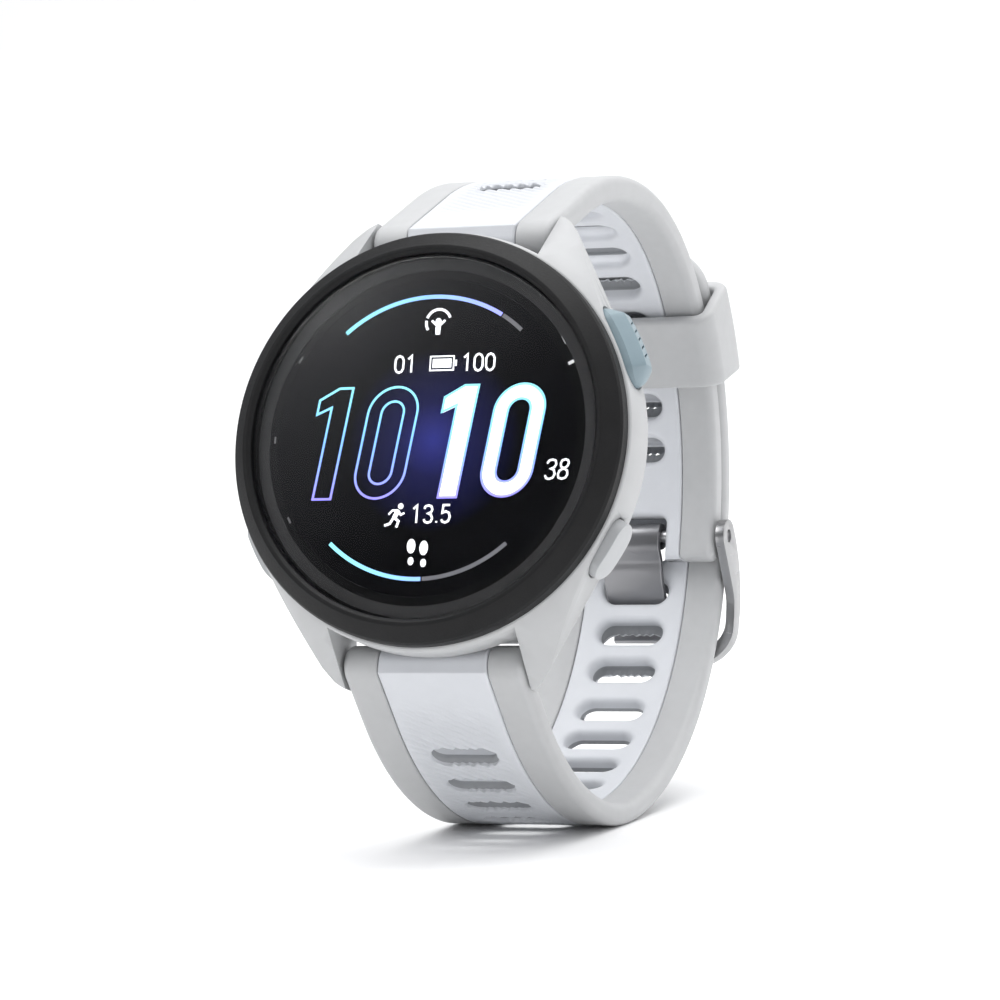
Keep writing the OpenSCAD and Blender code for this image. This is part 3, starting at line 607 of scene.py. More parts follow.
def three_sides(s0, s1):
    """Points round a stretch that is open at its end: NS, NX, NS."""
    pts = [(-FACE_HALF, s1 - (s1 - s0) * i / NS) for i in range(NS)]
    pts += [(-FACE_HALF + 2 * FACE_HALF * i / NX, s0) for i in range(NX)]
    pts += [(FACE_HALF, s0 + (s1 - s0) * i / NS) for i in range(NS + 1)]
    return pts


def fillet_drop(d, r):
    """How far a rounded rim has dropped at a distance from its edge."""
    return 0 if d >= r else r - math.sqrt(max(0, r * r - (r - d) ** 2))


def smoothstep(t):
    t = max(0.0, min(1.0, t))
    return t * t * (3 - 2 * t)


class Insert:
    """The pale insert of a strap half: two faces with slots, ribs on the outer one, closed round the bar."""

    def __init__(self, path, upper, thick, end, rib_start, rib_end, open_end):
        self.path, self.upper, self.thick, self.end = path, upper, thick, end
        self.ribs = (rib_start, rib_end)
        self.open_end = open_end
        self.bm = bmesh.new()

    def rib(self, x, s):
        """The depth of the fine slanting ribs, fading out towards the edges."""
        way = s if self.upper else -s
        q = (x * 0.56 + way * 0.83) / 0.8
        mask = smoothstep((s - self.ribs[0]) / 5) * smoothstep((self.ribs[1] - s) / 4)
        mask *= smoothstep((FACE_HALF + 0.2 - abs(x + 0.3)) / 2.2)
        return 0.26 * mask * (0.5 - 0.5 * math.cos(2 * math.pi * q)) ** 1.5

    def outer(self, x, s, drop=0.0):
        """A point on the outer face."""
        end_drop = fillet_drop(self.end - s, 0.5) if self.open_end else 0
        return self.bm.verts.new(self.path.solid(s, x, drop + end_drop + self.rib(x, s)))

    def inner(self, x, s, drop=0.0):
        """A point on the inner face."""
        end_drop = fillet_drop(self.end - s, 0.5) if self.open_end else 0
        return self.bm.verts.new(self.path.solid(s, x, self.thick - drop - end_drop))

    def skin(self, rows, closed, material=0):
        """Joins neighbouring rows of vertices."""
        n = len(rows[0])
        for a, b in zip(rows, rows[1:]):
            for i in range(n if closed else n - 1):
                j = (i + 1) % n
                self.bm.faces.new([a[i], a[j], b[j], b[i]]).material_index = material

    def cell(self, rect, ring, outer_shape, inner_shape, closed=True):
        """One slot or notch: outer face, wall (partly painted shade) and inner face as one run of rings."""
        rows = []
        for w in range(10, 0, -1):
            base = ring(*outer_shape, OUT_FILLET)
            k = (w / 10) ** 1.1
            rows.append([self.outer(a[0] + (b[0] - a[0]) * k, a[1] + (b[1] - a[1]) * k)
                         for a, b in zip(base, rect)])
        for a in (90, 60, 30, 0):
            d = OUT_FILLET * (1 - cd(a))
            rows.append([self.outer(x, s, fillet_drop(d, OUT_FILLET)) for x, s in ring(*outer_shape, d)])
        low = [self.path_t(x, s, self.thick - IN_FILLET) for x, s in ring(*inner_shape, 0)]
        high = [self.path_t(x, s, OUT_FILLET + 0.3) for x, s in ring(*outer_shape, 0)]
        step = [self.path_t(x, s, OUT_FILLET + 0.32) for x, s in ring(*inner_shape, 0)]
        mid = [self.path_t(x, s, OUT_FILLET + 0.85) for x, s in ring(*inner_shape, 0)]
        # Material 1 is the painted shade on the band of wall just below the outer rim.
        self.skin([high, step, mid], closed, 1)
        self.skin([mid, low], closed)
        rows += [high]
        self.skin(rows, closed)
        rows = [low]
        for a in (22, 45, 67, 90):
            d = IN_FILLET * (1 - cd(a))
            rows.append([self.inner(x, s, fillet_drop(d, IN_FILLET)) for x, s in ring(*inner_shape, d)])
        base = ring(*inner_shape, IN_FILLET)
        for w in (0.33, 0.66, 1):
            rows.append([self.inner(a[0] + (b[0] - a[0]) * w, a[1] + (b[1] - a[1]) * w)
                         for a, b in zip(base, rect)])
        self.skin(rows, closed)
        return rows

    def path_t(self, x, s, t):
        return self.bm.verts.new(self.path.solid(s, x, t))

    def slot(self, sc, slant=0.0):
        """A slot through the insert; slant moves its inner and outer ends apart along the strap."""
        rect = rect_ring(sc - PITCH / 2, sc + PITCH / 2)
        self.cell(rect, lambda c, l, w, wave, g: obround_ring(c, l, w, g, wave * max(0, 1 - g / OUT_FILLET)),
                  (sc - slant, 7.5, 2.8, 0.1), (sc + slant, 7.7, 3.0, 0))
        self.sides([sc - PITCH / 2 + PITCH * i / NS for i in range(NS + 1)])

    def plain(self, s0, s1, face="both"):
        """A stretch of face without a slot."""
        n = max(2, int((s1 - s0) / 0.22))
        at = [s0 + (s1 - s0) * i / n for i in range(n + 1)]
        xs = [-FACE_HALF + 2 * FACE_HALF * i / NX for i in range(NX + 1)]
        if face in ("both", "outer"):
            self.skin([[self.outer(x, s) for x in xs] for s in at], False)
        if face in ("both", "inner"):
            self.skin([[self.inner(x, s) for x in xs] for s in at], False)
        self.sides(at, face)

    def sides(self, at, face="both"):
        """The rounded long edges next to the rails."""
        turn = [0, 30, 60, 90]
        for h in (-1, 1):
            xs = [h * (FACE_HALF + EDGE * sd(a)) for a in turn]
            drops = [EDGE * (1 - cd(a)) for a in turn]
            if face in ("both", "outer"):
                self.skin([[self.outer(x, s, d) for x, d in zip(xs, drops)] for s in at], False)
            if face in ("both", "inner"):
                self.skin([[self.inner(x, s, d) for x, d in zip(xs, drops)] for s in at], False)

    def knob(self):
        """The round end that holds the spring bar, with a flat facet towards the dial."""
        a0, a1 = knob_angles(self.upper, self.thick)
        xs = [-FACE_HALF - EDGE * sd(a) for a in (90, 60, 30)]
        drops = [EDGE * (1 - cd(a)) for a in (90, 60, 30)]
        mid = [-FACE_HALF + 2 * FACE_HALF * i / NX for i in range(NX + 1)]
        xs = xs + mid + [-x for x in xs[::-1]]
        drops = drops + [0] * len(mid) + drops[::-1]
        v = BAR[1] if self.upper else -BAR[1]
        rows = []
        for i in range(121):
            a = a0 + (a1 - a0) * i / 120
            off = min(abs(a - 180), abs(a - a0)) if min(a0, 180) < a < max(a0, 180) else 0
            r = KNOB_R / cd(off)
            rows.append([self.bm.verts.new(row(BAR[0] + (r - d) * cd(a), v + (r - d) * sd(a), x))
                         for x, d in zip(xs, drops)])
        self.skin(rows, False)

    def finish(self, name, nodes):
        """Closes the mesh and makes it a piece."""
        bm = self.bm
        bmesh.ops.remove_doubles(bm, verts=bm.verts[:], dist=4e-6)
        self.close_ends()
        edges = [e for e in bm.edges if e.is_boundary]
        bmesh.ops.holes_fill(bm, edges=edges, sides=0)
        o = add_object(name, bm, "case", "white_silicone", nodes, smooth=0)
        # Second material: the painted shade on the slot walls.
        o.data.materials.append(M["slot_wall_painted_shade"])
        return o

    def close_ends(self):
        """Closes the strap half's end, across its thickness."""
        bm = self.bm
        centre, _ = self.path.at(self.end)
        ahead = self.path.at(self.end - 0.05)[0]
        way = (row(*centre, 0) - row(*ahead, 0)).normalized()
        there = row(*centre, 0).dot(way)
        near = {v for v in bm.verts
                if abs(v.co.dot(way) - there) < 3e-6 and (v.co - row(*centre, 0)).length < 0.012}
        edges = [e for e in bm.edges if e.is_boundary and e.verts[0] in near and e.verts[1] in near]
        for h in ((-1, 1) if self.open_end else (0,)):
            mine = [e for e in edges if not h or e.verts[0].co.x * h > 0]
            ends = {}
            for e in mine:
                for v in e.verts:
                    ends[v] = ends.get(v, 0) + 1
            loose = [v for v, k in ends.items() if k == 1]
            for a in loose[:]:
                if a not in loose:
                    continue
                b = min((w for w in loose if w is not a), key=lambda w: (w.co - a.co).length, default=None)
                if b is None:
                    break
                if not any(a in e.verts and b in e.verts for e in mine):
                    mine.append(bm.edges.new((a, b)))
                loose = [w for w in loose if w not in (a, b)]
            bmesh.ops.contextual_create(bm, geom=mine)


def build_strap():
    """Both strap halves: slotted inserts between grey rails."""
    up, lo = upper_path(), lower_path()
    top_s = up.pieces[2][0]
    up_slots = [top_s + 0.6 + k * PITCH for k in range(-3, 8)]
    ins = Insert(up, True, UPPER_T, up.length, 2, up.length - 12, True)
    ins.knob()
    first = up_slots[0] - PITCH / 2
    ins.plain(0, first, face="outer")
    ins.plain(inner_start(up, True, UPPER_T), first, face="inner")
    notch_top = up.length - 5.0
    last = notch_top - 2.6
    up_slots = [s for s in up_slots if s < last - PITCH / 2 + 0.2]
    for s in up_slots:
        ins.slot(s, 0.4 if s > up.length / 3 else 0)
    ins.plain(up_slots[-1] + PITCH / 2, last)
    ins.cell(three_sides(last, up.length), lambda a, b, c, d, g: notch_ring(a, b, c, d, g),
             (notch_top, up.length, 4.15, 0.9), (notch_top, up.length, 4.2, 0.9), closed=False)
    ins.sides([last + (up.length - last) * i / NS for i in range(NS + 1)])
    o = ins.finish("strap_upper_insert_shell", ("strap_upper_insert",))
    bore(o, BAR, BAR_BORE_R, STRAP_CUT)
    bore(o, PIVOT, HOLE_R, STRAP_CUT)
    o = rails(up, True, UPPER_T, up.length, 0.7, "strap_upper_rails_shell", ("strap_upper_rails",))
    bore(o, PIVOT, HOLE_R, STRAP_CUT)

    far_s = lo.pieces[5][0]
    tip = lo.length - TIP_L
    ins = Insert(lo, False, LOWER_T, tip, 2, tip - 3, False)
    ins.knob()
    slots = [far_s - k * PITCH for k in range(13, -7, -1)]
    slots = [s for s in slots if s + PITCH / 2 < tip - 1]
    first = slots[0] - PITCH / 2
    ins.plain(0, first, face="outer")
    ins.plain(inner_start(lo, False, LOWER_T), first, face="inner")
    for s in slots:
        ins.slot(s, 0.4 if s > lo.length / 2 else -0.4)
    ins.plain(slots[-1] + PITCH / 2, tip)
    o = ins.finish("strap_lower_insert_shell", ("strap_lower_insert",))
    bore(o, (BAR[0], -BAR[1]), BAR_BORE_R, STRAP_CUT)
    rails(lo, False, LOWER_T, tip, 0, "strap_lower_rails_shell", ("strap_lower_rails",))
    tail_tip(lo, tip)


def tail_tip(path, s0):
    """The solid rounded end of the lower half, a part of its grey rails."""
    bm = bmesh.new()
    corner, edge = 6.0, 0.85
    half = STRAP_HALF

    def loop(inset, t):
        r = corner - inset
        pts = [(-half + inset, s0), (-half + inset, path.length - corner)]
        pts += [(-half + corner - r * cd(a), path.length - corner + r * sd(a)) for a in range(6, 91, 6)]
        pts += [(half - corner + r * sd(a), path.length - corner + r * cd(a)) for a in range(0, 90, 6)]
        pts += [(half - inset, path.length - corner), (half - inset, s0)]
        return [bm.verts.new(path.solid(s, x, t)) for x, s in pts]

    rows = []
    for a in (90, 72, 54, 36, 18, 0):
        rows.append(loop(edge * (1 - cd(a)), edge * (1 - sd(a))))
    for a in (0, 18, 36, 54, 72, 90):
        rows.append(loop(edge * (1 - cd(a)), LOWER_T - edge * (1 - sd(a))))
    n = len(rows[0])
    for a, b in zip(rows, rows[1:]):
        for i in range(n - 1):
            bm.faces.new([a[i], a[i + 1], b[i + 1], b[i]])
    for r in (rows[0], rows[-1]):
        m = n // 2
        for i in range(m - 1):
            if r[i] is not r[n - 1 - i]:
                bm.faces.new([r[i], r[i + 1], r[n - 2 - i], r[n - 1 - i]])
        if n % 2:
            bm.faces.new([r[m - 1], r[m], r[m + 1]])
    bm.faces.new([r[0] for r in rows] + [r[-1] for r in rows[::-1]])
    add_object("strap_tail_tip", bm, "case", "grey_silicone", smooth=40)


# ---------------------------------------------------------------- front: bezel, glass, graphics
def build_front():
    """The black bezel and the cover glass."""
    profile = [(19.05, 1.8), (19.05, 0.35), (19.4, 0.0), (19.8, 0.0), (21.3, 1.35), (21.5, 1.75), (21.5, 3.2),
               (17.4, 3.2), (17.4, 1.8)]
    radii = [0, 0.2, 0.2, 0.2, 0.2, 0.3, 0.15, 0, 0]
    add_object("bezel", lathe(rounded(profile, radii)), "case", "black_bezel", ("bezel_ring",), smooth=30)
    glass = [(0.0, 0.45), (18.6, 0.45), (18.9, 0.6), (18.9, 1.65), (0.0, 1.65)]
    glass_bm = lathe(rounded(glass, [0, 0.25, 0.2, 0, 0]))
    add_object("glass", glass_bm, "case", "cover_glass", ("cover_glass",), smooth=30)


SCREEN_DEPTH = 1.66


def flat_shape(bm, outlines, depth=SCREEN_DEPTH, thick=0.02):
    """Thin plates on the screen from closed outlines of (x, v)."""
    for pts in outlines:
        low = [bm.verts.new(row(depth + thick, v, x)) for x, v in pts]
        high = [bm.verts.new(row(depth, v, x)) for x, v in pts]
        n = len(pts)
        for i in range(n):
            bm.faces.new([low[i], low[(i + 1) % n], high[(i + 1) % n], high[i]])
        bm.faces.new(high)
        bm.faces.new(low[::-1])


def stroke(bm, pts, width, closed=False, depth=SCREEN_DEPTH, thick=0.02):
    """A ribbon of even width along a line of (x, v) points."""
    n = len(pts)
    left, right = [], []
    for i, p in enumerate(pts):
        a = pts[i - 1] if closed or i else p
        b = pts[(i + 1) % n] if closed or i < n - 1 else p
        d0, d1 = Vector(p) - Vector(a), Vector(b) - Vector(p)
        d0 = d0.normalized() if d0.length > 1e-9 else d1.normalized()
        d1 = d1.normalized() if d1.length > 1e-9 else d0
        t = (d0 + d1).normalized()
        nrm = Vector((-t.y, t.x))
        k = width / 2 / max(0.5, nrm.dot(Vector((-d1.y, d1.x))))
        left.append(tuple(Vector(p) + nrm * k))
        right.append(tuple(Vector(p) - nrm * k))
    rows = [[bm.verts.new(row(d, v, x)) for x, v in line]
            for line, d in ((left, depth), (right, depth), (right, depth + thick), (left, depth + thick))]
    for i in range(n if closed else n - 1):
        j = (i + 1) % n
        for a, b in zip(rows, rows[1:] + rows[:1]):
            bm.faces.new([a[i], a[j], b[j], b[i]])
    if not closed:
        bm.faces.new([r[0] for r in rows])
        bm.faces.new([r[-1] for r in rows[::-1]])


def arc_pts(cx, cy, r, a0, a1, n=48, squash=1.0):
    """Points along an arc."""
    turns = [a0 + (a1 - a0) * i / n for i in range(n + 1)]
    return [(cx + r * cd(a) * squash, cy + r * sd(a)) for a in turns]


ITALIC = 0.15


def slant(pts, v0):
    """Leans a figure like italics."""
    return [(x + (v - v0) * ITALIC, v) for x, v in pts]


def big_one(x, v0, v1, w=2.0):
    """The outline of the dial's large 1."""
    return slant([(x, v0), (x + w, v0), (x + w, v1), (x + w - 1.5, v1), (x - 1.5, v1 - 1.2), (x - 1.5, v1 - 2.7),
                  (x, v1 - 2.0)], (v0 + v1) / 2)


def big_zero(x, v0, v1, half, inset=0.0):
    """The outline of the dial's large 0."""
    h = half - inset
    top = arc_pts(x, v1 - half, h, 0, 180, 24)
    low = arc_pts(x, v0 + half, h, 180, 360, 24)
    return slant(top + low, (v0 + v1) / 2)


# Small digits as strokes in a box 0.6 wide and 1 high.
DIGITS = {
    "0": [[(0, 0.25), (0, 0.75), (0.12, 0.93), (0.3, 1), (0.48, 0.93), (0.6, 0.75),
           (0.6, 0.25), (0.48, 0.07), (0.3, 0), (0.12, 0.07), (0, 0.25)]],
    "1": [[(0.08, 0.8), (0.34, 1), (0.34, 0)]],
    "3": [[(0, 0.8), (0.1, 0.95), (0.3, 1), (0.5, 0.94), (0.58, 0.76), (0.5, 0.6), (0.28, 0.53),
           (0.5, 0.46), (0.6, 0.26), (0.52, 0.07), (0.3, 0), (0.1, 0.05), (0, 0.2)]],
    "5": [[(0.56, 1), (0.1, 1), (0.05, 0.56), (0.3, 0.64), (0.52, 0.55), (0.6, 0.32),
           (0.5, 0.08), (0.28, 0), (0.08, 0.06), (0, 0.18)]],
    "8": [[(0.3, 0.54), (0.1, 0.64), (0.05, 0.8), (0.12, 0.95), (0.3, 1), (0.48, 0.95), (0.55, 0.8),
           (0.5, 0.64), (0.3, 0.54), (0.06, 0.42), (0, 0.24), (0.08, 0.06), (0.3, 0), (0.52, 0.06),
           (0.6, 0.24), (0.54, 0.42), (0.3, 0.54)]],
    ".": [[(0.05, 0), (0.05, 0.09)]],
}


def number(bm, text, x, v, height, width, italic=0.0, advance=0.86):
    """Draws small digits with ribbons."""
    for ch in text:
        for line in DIGITS[ch]:
            stroke(bm, [(x + height * (a * 0.86 + b * italic), v + b * height) for a, b in line], width)
        x += height * (0.34 if ch == "." else advance * 0.86)


def emissive(name, colour, strength):
    """A glowing colour: the display's own light, and a painted glow where the printed rim marks use it."""
    m = principled(name, colour, 0.4)
    b = m.node_tree.nodes["Principled BSDF"]
    b.inputs["Emission Color"].default_value = (*colour, 1)
    b.inputs["Emission Strength"].default_value = strength
    return grain(m, 3000, 0.02, 0.02, 0.02)


def gradient(name, axis_from, axis_to, colours, strength):
    """A glowing material whose colour runs from one point of the row frame to another."""
    m = principled(name, colours[0], 0.4)
    t = m.node_tree
    b = t.nodes["Principled BSDF"]
    coord = t.nodes.new("ShaderNodeTexCoord")
    dot = t.nodes.new("ShaderNodeVectorMath")
    dot.operation = "DOT_PRODUCT"
    way = axis_to - axis_from
    dot.inputs[1].default_value = way / way.length_squared
    t.links.new(coord.outputs["Object"], dot.inputs[0])
    span = t.nodes.new("ShaderNodeMapRange")
    start = axis_from.dot(way) / way.length_squared
    span.inputs["From Min"].default_value, span.inputs["From Max"].default_value = start, start + 1
    t.links.new(dot.outputs["Value"], span.inputs["Value"])
    ramp = t.nodes.new("ShaderNodeValToRGB")
    ramp.color_ramp.elements[0].color = (*colours[0], 1)
    ramp.color_ramp.elements[1].color = (*colours[-1], 1)
    for i, c in enumerate(colours[1:-1]):
        e = ramp.color_ramp.elements.new((i + 1) / (len(colours) - 1))
        e.color = (*c, 1)
    t.links.new(span.outputs["Result"], ramp.inputs["Fac"])
    t.links.new(ramp.outputs["Color"], b.inputs["Emission Color"])
    t.links.new(ramp.outputs["Color"], b.inputs["Base Color"])
    b.inputs["Emission Strength"].default_value = strength
    return m


CYAN, BLUE, VIOLET = (0.25, 0.75, 0.85), (0.2, 0.45, 0.95), (0.28, 0.25, 0.9)


def build_display():
    """The display panel and all that it shows."""
    panel = bmesh.new()
    disc = [arc_pts(0, 0, 16.55, 0, 357, 119)]
    flat_shape(panel, disc, 1.7, 1.1)
    m = principled("display_glow", (0.003, 0.003, 0.004), 0.4, Specular_IOR_Level=0.05)
    grain(m, 3000, 0.02, 0.1, 0.03)
    glow(m)
    add_object("display_panel", panel, "case", "display", ("display_module",), m)
    border = lathe([(16.56, 1.67), (19.0, 1.67), (19.0, 1.75), (16.56, 1.75)], 180)
    add_object("display_border", border, "case", "display", material=M["black_ink"])

    v0, v1 = -6.3, 5.3
    white = emissive("screen_white", (0.9, 0.91, 0.93), 0.9)
    grey = emissive("screen_grey", (0.13, 0.13, 0.14), 0.5)
    edge = gradient("screen_edge", row(1.7, v0, 0), row(1.7, v1, 0), [VIOLET, BLUE, CYAN], 0.9)

    lines = bmesh.new()
    for x in (-12.6, 1.4):
        stroke(lines, big_one(x + 1.3, v0, v1), 0.24, True)
        stroke(lines, big_zero(x + 8.3, v0, v1, 2.75), 0.24, True)
        stroke(lines, big_zero(x + 8.3, v0, v1, 2.75, 1.5), 0.24, True)
    add_object("screen_digit_outlines", lines, "case", "display", material=edge)
    fill = bmesh.new()
    flat_shape(fill, [big_one(2.7 + 0.12, v0 + 0.12, v1 - 0.12, 1.76)], SCREEN_DEPTH + 0.01)
    stroke(fill, big_zero(9.7, v0, v1, 2.75, 0.75), 1.3, True, SCREEN_DEPTH + 0.01)
    number(fill, "38", 13.35, -4.6, 2.0, 0.2, 0.15, 0.8)
    number(fill, "01", -3.9, 6.8, 1.75, 0.22)
    number(fill, "100", 3.6, 6.8, 1.75, 0.22)
    number(fill, "13.5", -0.9, -8.9, 1.8, 0.22)
    frame_pts = [(0.0, 6.95), (2.6, 6.95), (2.6, 8.4), (0.0, 8.4)]
    stroke(fill, frame_pts, 0.16, True)
    flat_shape(fill, [[(0.25, 7.2), (2.35, 7.2), (2.35, 8.15), (0.25, 8.15)],
                      [(2.75, 7.35), (2.95, 7.35), (2.95, 8.0), (2.75, 8.0)]])
    runner(fill)
    stroke(fill, arc_pts(0.6, 12.0, 1.35, 20, 160, 20), 0.28)
    stroke(fill, arc_pts(0.6, 12.0, 1.35, 172, 215, 10), 0.28)
    flat_shape(fill, [arc_pts(0.6, 12.1, 0.33, 0, 340, 17)])
    stroke(fill, [(-0.15, 12.2), (0.6, 11.5), (1.35, 12.2)], 0.24)
    flat_shape(fill, [[(0.3, 11.5), (0.9, 11.5), (0.85, 10.7), (0.35, 10.7)]])
    for x, lift in ((-0.75, 0.1), (0.65, -0.1)):
        flat_shape(fill, [arc_pts(x, -11.4 + lift, 0.75, 0, 350, 24, 0.62),
                          arc_pts(x + 0.05, -12.95 + lift, 0.42, 0, 350, 18, 0.75)])
    add_object("screen_figures", fill, "case", "display", material=white)

    arcs = bmesh.new()
    stroke(arcs, arc_pts(0, 0, 14.7, 131, 59, 60), 0.42)
    stroke(arcs, arc_pts(0, 0, 14.7, 228, 272, 50), 0.42)
    sweep = gradient("screen_arcs", row(1.7, 0, -10), row(1.7, 0, 8),
                     [CYAN, (0.25, 0.5, 0.95), (0.33, 0.35, 0.98)], 0.9)
    add_object("screen_gauges", arcs, "case", "display", material=sweep)
    dim = bmesh.new()
    stroke(dim, arc_pts(0, 0, 14.7, 58.4, 48, 16), 0.42)
    stroke(dim, arc_pts(0, 0, 14.7, 272.6, 311, 40), 0.42)
    add_object("screen_gauges_dim", dim, "case", "display", material=grey)
    marks()


def runner(bm):
    """A small generic running figure."""
    x, v = -2.75, -8.2
    flat_shape(bm, [arc_pts(x + 0.55, v + 1.05, 0.3, 0, 340, 17)])
    stroke(bm, [(x + 0.3, v + 0.65), (x - 0.1, v - 0.15)], 0.5)
    stroke(bm, [(x - 0.75, v + 0.2), (x - 0.35, v + 0.62), (x + 0.3, v + 0.6),
                (x + 0.6, v + 0.15), (x + 1.0, v + 0.35)], 0.2)
    stroke(bm, [(x - 0.15, v - 0.1), (x + 0.4, v - 0.5), (x + 0.2, v - 1.15)], 0.26)
    stroke(bm, [(x - 0.15, v - 0.1), (x - 0.55, v - 0.75), (x - 1.15, v - 0.95)], 0.26)


MARK_R = 17.6


def marks():
    """Small generic marks printed under the glass's rim, one beside each button, made to glow as painted light.
    """
    bm = bmesh.new()

    def mark(mesh, angle, pts, width):
        turned = [((MARK_R + a) * cd(angle) - b * sd(angle), (MARK_R + a) * sd(angle) + b * cd(angle))
                  for a, b in pts]
        stroke(mesh, turned, width, depth=1.655, thick=0.01)

    for angle in (150, 180, 210):
        mark(bm, angle, [(0, -1.0), (0, 1.0)], 0.24)
        mark(bm, angle, [(-0.7, -0.35), (-0.7, 0.35)], 0.2)
    mark(bm, 330, [(0, -1.1), (0, 1.1)], 0.24)
    # Painted glow: the printed grey marks are given a faint emission.
    grey = emissive("rim_grey_painted_glow", (0.11, 0.11, 0.115), 0.2)
    add_object("rim_marks_grey", bm, "case", "display", material=grey)
    bright = bmesh.new()
    mark(bright, 31, [(0, 0.4), (0, 2.6)], 0.34)
    mark(bright, 25.5, [(-0.75, 0), (0.75, 0)], 0.34)
    # Painted glow: the printed white marks are given emission.
    white = emissive("rim_white_painted_glow", (0.6, 0.6, 0.6), 0.5)
    add_object("rim_marks_white", bright, "case", "display", material=white)


def glow(m):
    """A soft blue glow in the middle of the screen."""
    t = m.node_tree
    b = t.nodes["Principled BSDF"]
    coord = t.nodes.new("ShaderNodeTexCoord")
    far = t.nodes.new("ShaderNodeVectorMath")
    far.operation = "DISTANCE"
    far.inputs[1].default_value = row(1.7, -0.3, 0.9)
    t.links.new(coord.outputs["Object"], far.inputs[0])
    ramp = t.nodes.new("ShaderNodeValToRGB")
    span = t.nodes.new("ShaderNodeMapRange")
    span.inputs["From Max"].default_value = 0.0095
    t.links.new(far.outputs["Value"], span.inputs["Value"])
    t.links.new(span.outputs["Result"], ramp.inputs["Fac"])
    e = ramp.color_ramp.elements
    e[0].color, e[1].color = (0.035, 0.04, 0.26, 1), (0, 0, 0, 1)
    mid = e.new(0.4)
    mid.color = (0.012, 0.013, 0.075, 1)
    t.links.new(ramp.outputs["Color"], b.inputs["Emission Color"])
    b.inputs["Emission Strength"].default_value = 1.0


# ---------------------------------------------------------------- buckle tongue and start key
ROLL_R, TONGUE_T, TONGUE_HALF, TONGUE_RIM = 1.5, 0.8, 3.5, 0.13
TONGUE = [(60.6, 1.4), (60.75, 0.1), (61.3, -0.7), (61.8, -1.4), (62.15, -2.6), (62.8, -3.9),
          (63.8, -5.2), (65.3, -6.8), (66.15, -7.9), (66.5, -8.9), (66.6, -9.8)]


def smooth_line(pts, steps=6):
    """A curve through the points."""
    pts = [Vector(p) for p in pts]
    out = []
    for i in range(len(pts) - 1):
        a, b, c, d = pts[max(i - 1, 0)], pts[i], pts[i + 1], pts[min(i + 2, len(pts) - 1)]
        for k in range(steps):
            t = k / steps
            bend, twist = 2 * a - 5 * b + 4 * c - d, 3 * b - a - 3 * c + d
            out.append(0.5 * (2 * b + (c - a) * t + bend * t * t + twist * t ** 3))
    return out + [pts[-1]]


def tongue_outline(inset):
    """The tongue's side view: a strip curled round its pin, with its faces drawn in by an inset."""
    line = smooth_line(TONGUE)
    left, right = [], []
    for i, p in enumerate(line):
        way = (line[min(i + 1, len(line) - 1)] - line[max(i - 1, 0)]).normalized()
        side = Vector((-way.y, way.x)) * (TONGUE_T / 2 - inset)
        left.append(tuple(p - side))
        right.append(tuple(p + side))
    r_out, r_in = ROLL_R - inset, HOLE_R + inset
    roll = [(PIVOT[0] + r_out * cd(a), PIVOT[1] + r_out * sd(a)) for a in range(276, 535, 6)]
    hole = [(PIVOT[0] + r_in * cd(a), PIVOT[1] + r_in * sd(a)) for a in range(528, 275, -6)]
    tip = (line[-1].x, line[-1].y - 0.3 + inset)
    return roll + left[1:] + [tip] + right[:0:-1] + hole


def build_tongue():
    """The steel tongue, with its two edges rounded."""
    bm = bmesh.new()
    side = [(TONGUE_HALF - TONGUE_RIM * (1 - sd(a)), TONGUE_RIM * (1 - cd(a))) for a in (0, 30, 60, 90)]
    stack(bm, [[bm.verts.new(row(u, v, x)) for u, v in tongue_outline(inset)]
               for x, inset in [(-x, i) for x, i in side[::-1]] + side])
    add_object("tongue", bm, "buckle_tongue", "tongue_steel", ("buckle_tongue",), smooth=30)


KEY_ANGLE, KEY_DEPTH, KEY_HALF, KEY_WIDE = 27, 5.9, 4.55, 2.15
KEY_BASE_R, KEY_WALL_R, KEY_TOP_R = 21.15, 22.0, 23.55


def key_point(r, y, z):
    """A point in the start key's own axes: outward, along the rim, and towards the back."""
    return row(KEY_DEPTH + z, r * sd(KEY_ANGLE) + y * cd(KEY_ANGLE), r * cd(KEY_ANGLE) - y * sd(KEY_ANGLE))


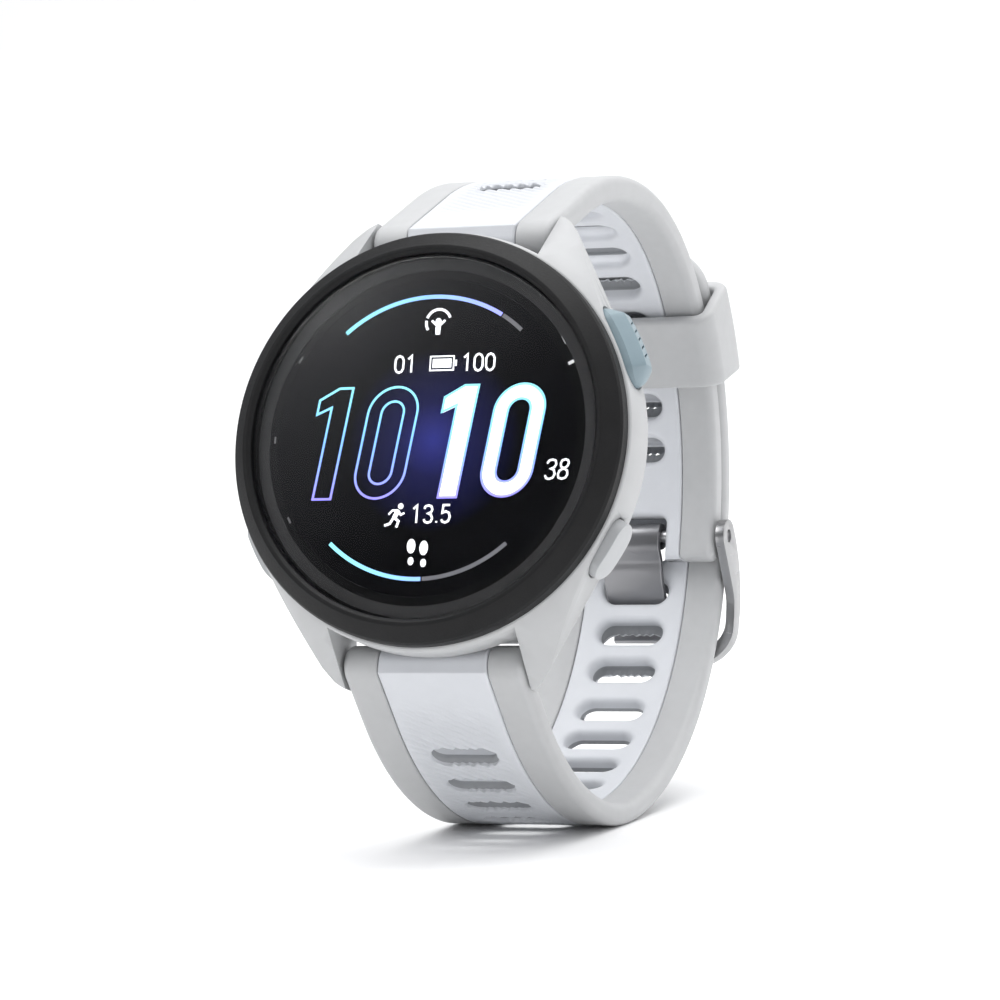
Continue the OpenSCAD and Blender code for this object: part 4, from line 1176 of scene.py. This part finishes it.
def build_key():
    """The blue-grey start key: faceted, tapering to both ends, with short slanting grooves."""
    bm = bmesh.new()
    rings = []
    for i in range(61):
        y = KEY_HALF * math.sin(math.radians(-90 + 3 * i))
        over = max(0, abs(y) - (KEY_HALF - KEY_WIDE))
        wide = max(0.05, math.sqrt(max(0, KEY_WIDE ** 2 - over ** 2)))
        rise = min(1.0, (KEY_HALF - abs(y)) / 1.5)
        wall = math.sqrt(KEY_WALL_R ** 2 - y * y)
        top = math.sqrt(KEY_TOP_R ** 2 - y * y)
        reach = wall + (top - wall) * (0.15 + 0.85 * rise)
        section = [(KEY_BASE_R, -wide), (wall, -wide), (wall + (reach - wall) * 0.3, -wide * 0.97),
                   (reach, -wide * 0.3), (reach + 0.02, wide * 0.45),
                   (reach - (reach - wall) * 0.25, wide * 0.93), (wall, wide), (KEY_BASE_R, wide)]
        rings.append([bm.verts.new(key_point(r, y, z)) for r, z in section])
    stack(bm, rings)
    creases = [e for e in bm.edges if len(e.link_faces) == 2 and e.calc_length() < 0.0009
               and e.calc_face_angle(0) > math.radians(18)]
    bmesh.ops.bevel(bm, geom=creases, offset=0.16 * MM, segments=2, profile=0.5, affect="EDGES",
                    clamp_overlap=True)
    stem = [[bm.verts.new(key_point(at, r * cd(15 * k), r * sd(15 * k))) for k in range(24)]
            for at, r in ((17.95, 0.65), (18.27, 0.65), (18.27, 0.9), (KEY_BASE_R, 0.9))]
    stack(bm, stem)
    o = add_object("start_key", bm, "button_start", "start_key", ("button_start",), smooth=28)
    grooves = bmesh.new()
    for k in range(5):
        y = -1.9 + 0.95 * k
        top = math.sqrt(KEY_TOP_R ** 2 - y * y) + 0.4
        corners = [grooves.verts.new(key_point(top + dr, y + shift + dy, z))
                   for shift, z in ((-0.3, -0.35), (0.3, 0.75)) for dy in (-0.11, 0.11) for dr in (-0.62, 0.0)]
        for f in ((0, 1, 3, 2), (4, 6, 7, 5), (0, 2, 6, 4), (1, 5, 7, 3), (0, 4, 5, 1), (2, 3, 7, 6)):
            grooves.faces.new([corners[i] for i in f])
    cut(o, grooves)


# ---------------------------------------------------------------- build
camera()
studio()
build_front()
build_display()
build_strap()
soften("main_case", "case_shell", "case", "light_case", 0.3)
soften("rear_cover", "rear_cover_shell", "case", "rear_cover", 0.25)
soften("keeper_loop", "keeper", "keeper_loop", "keeper_silicone", 0.5, 4)
soften("buckle_frame", "buckle_frame_shell", "buckle_frame", "buckle_steel", 0.25)
build_tongue()
build_key()
for which in ("light", "up", "down", "back"):
    soften("button_" + which, "button_cap_" + which, "button_" + which, "light_button", 0.7, 5)
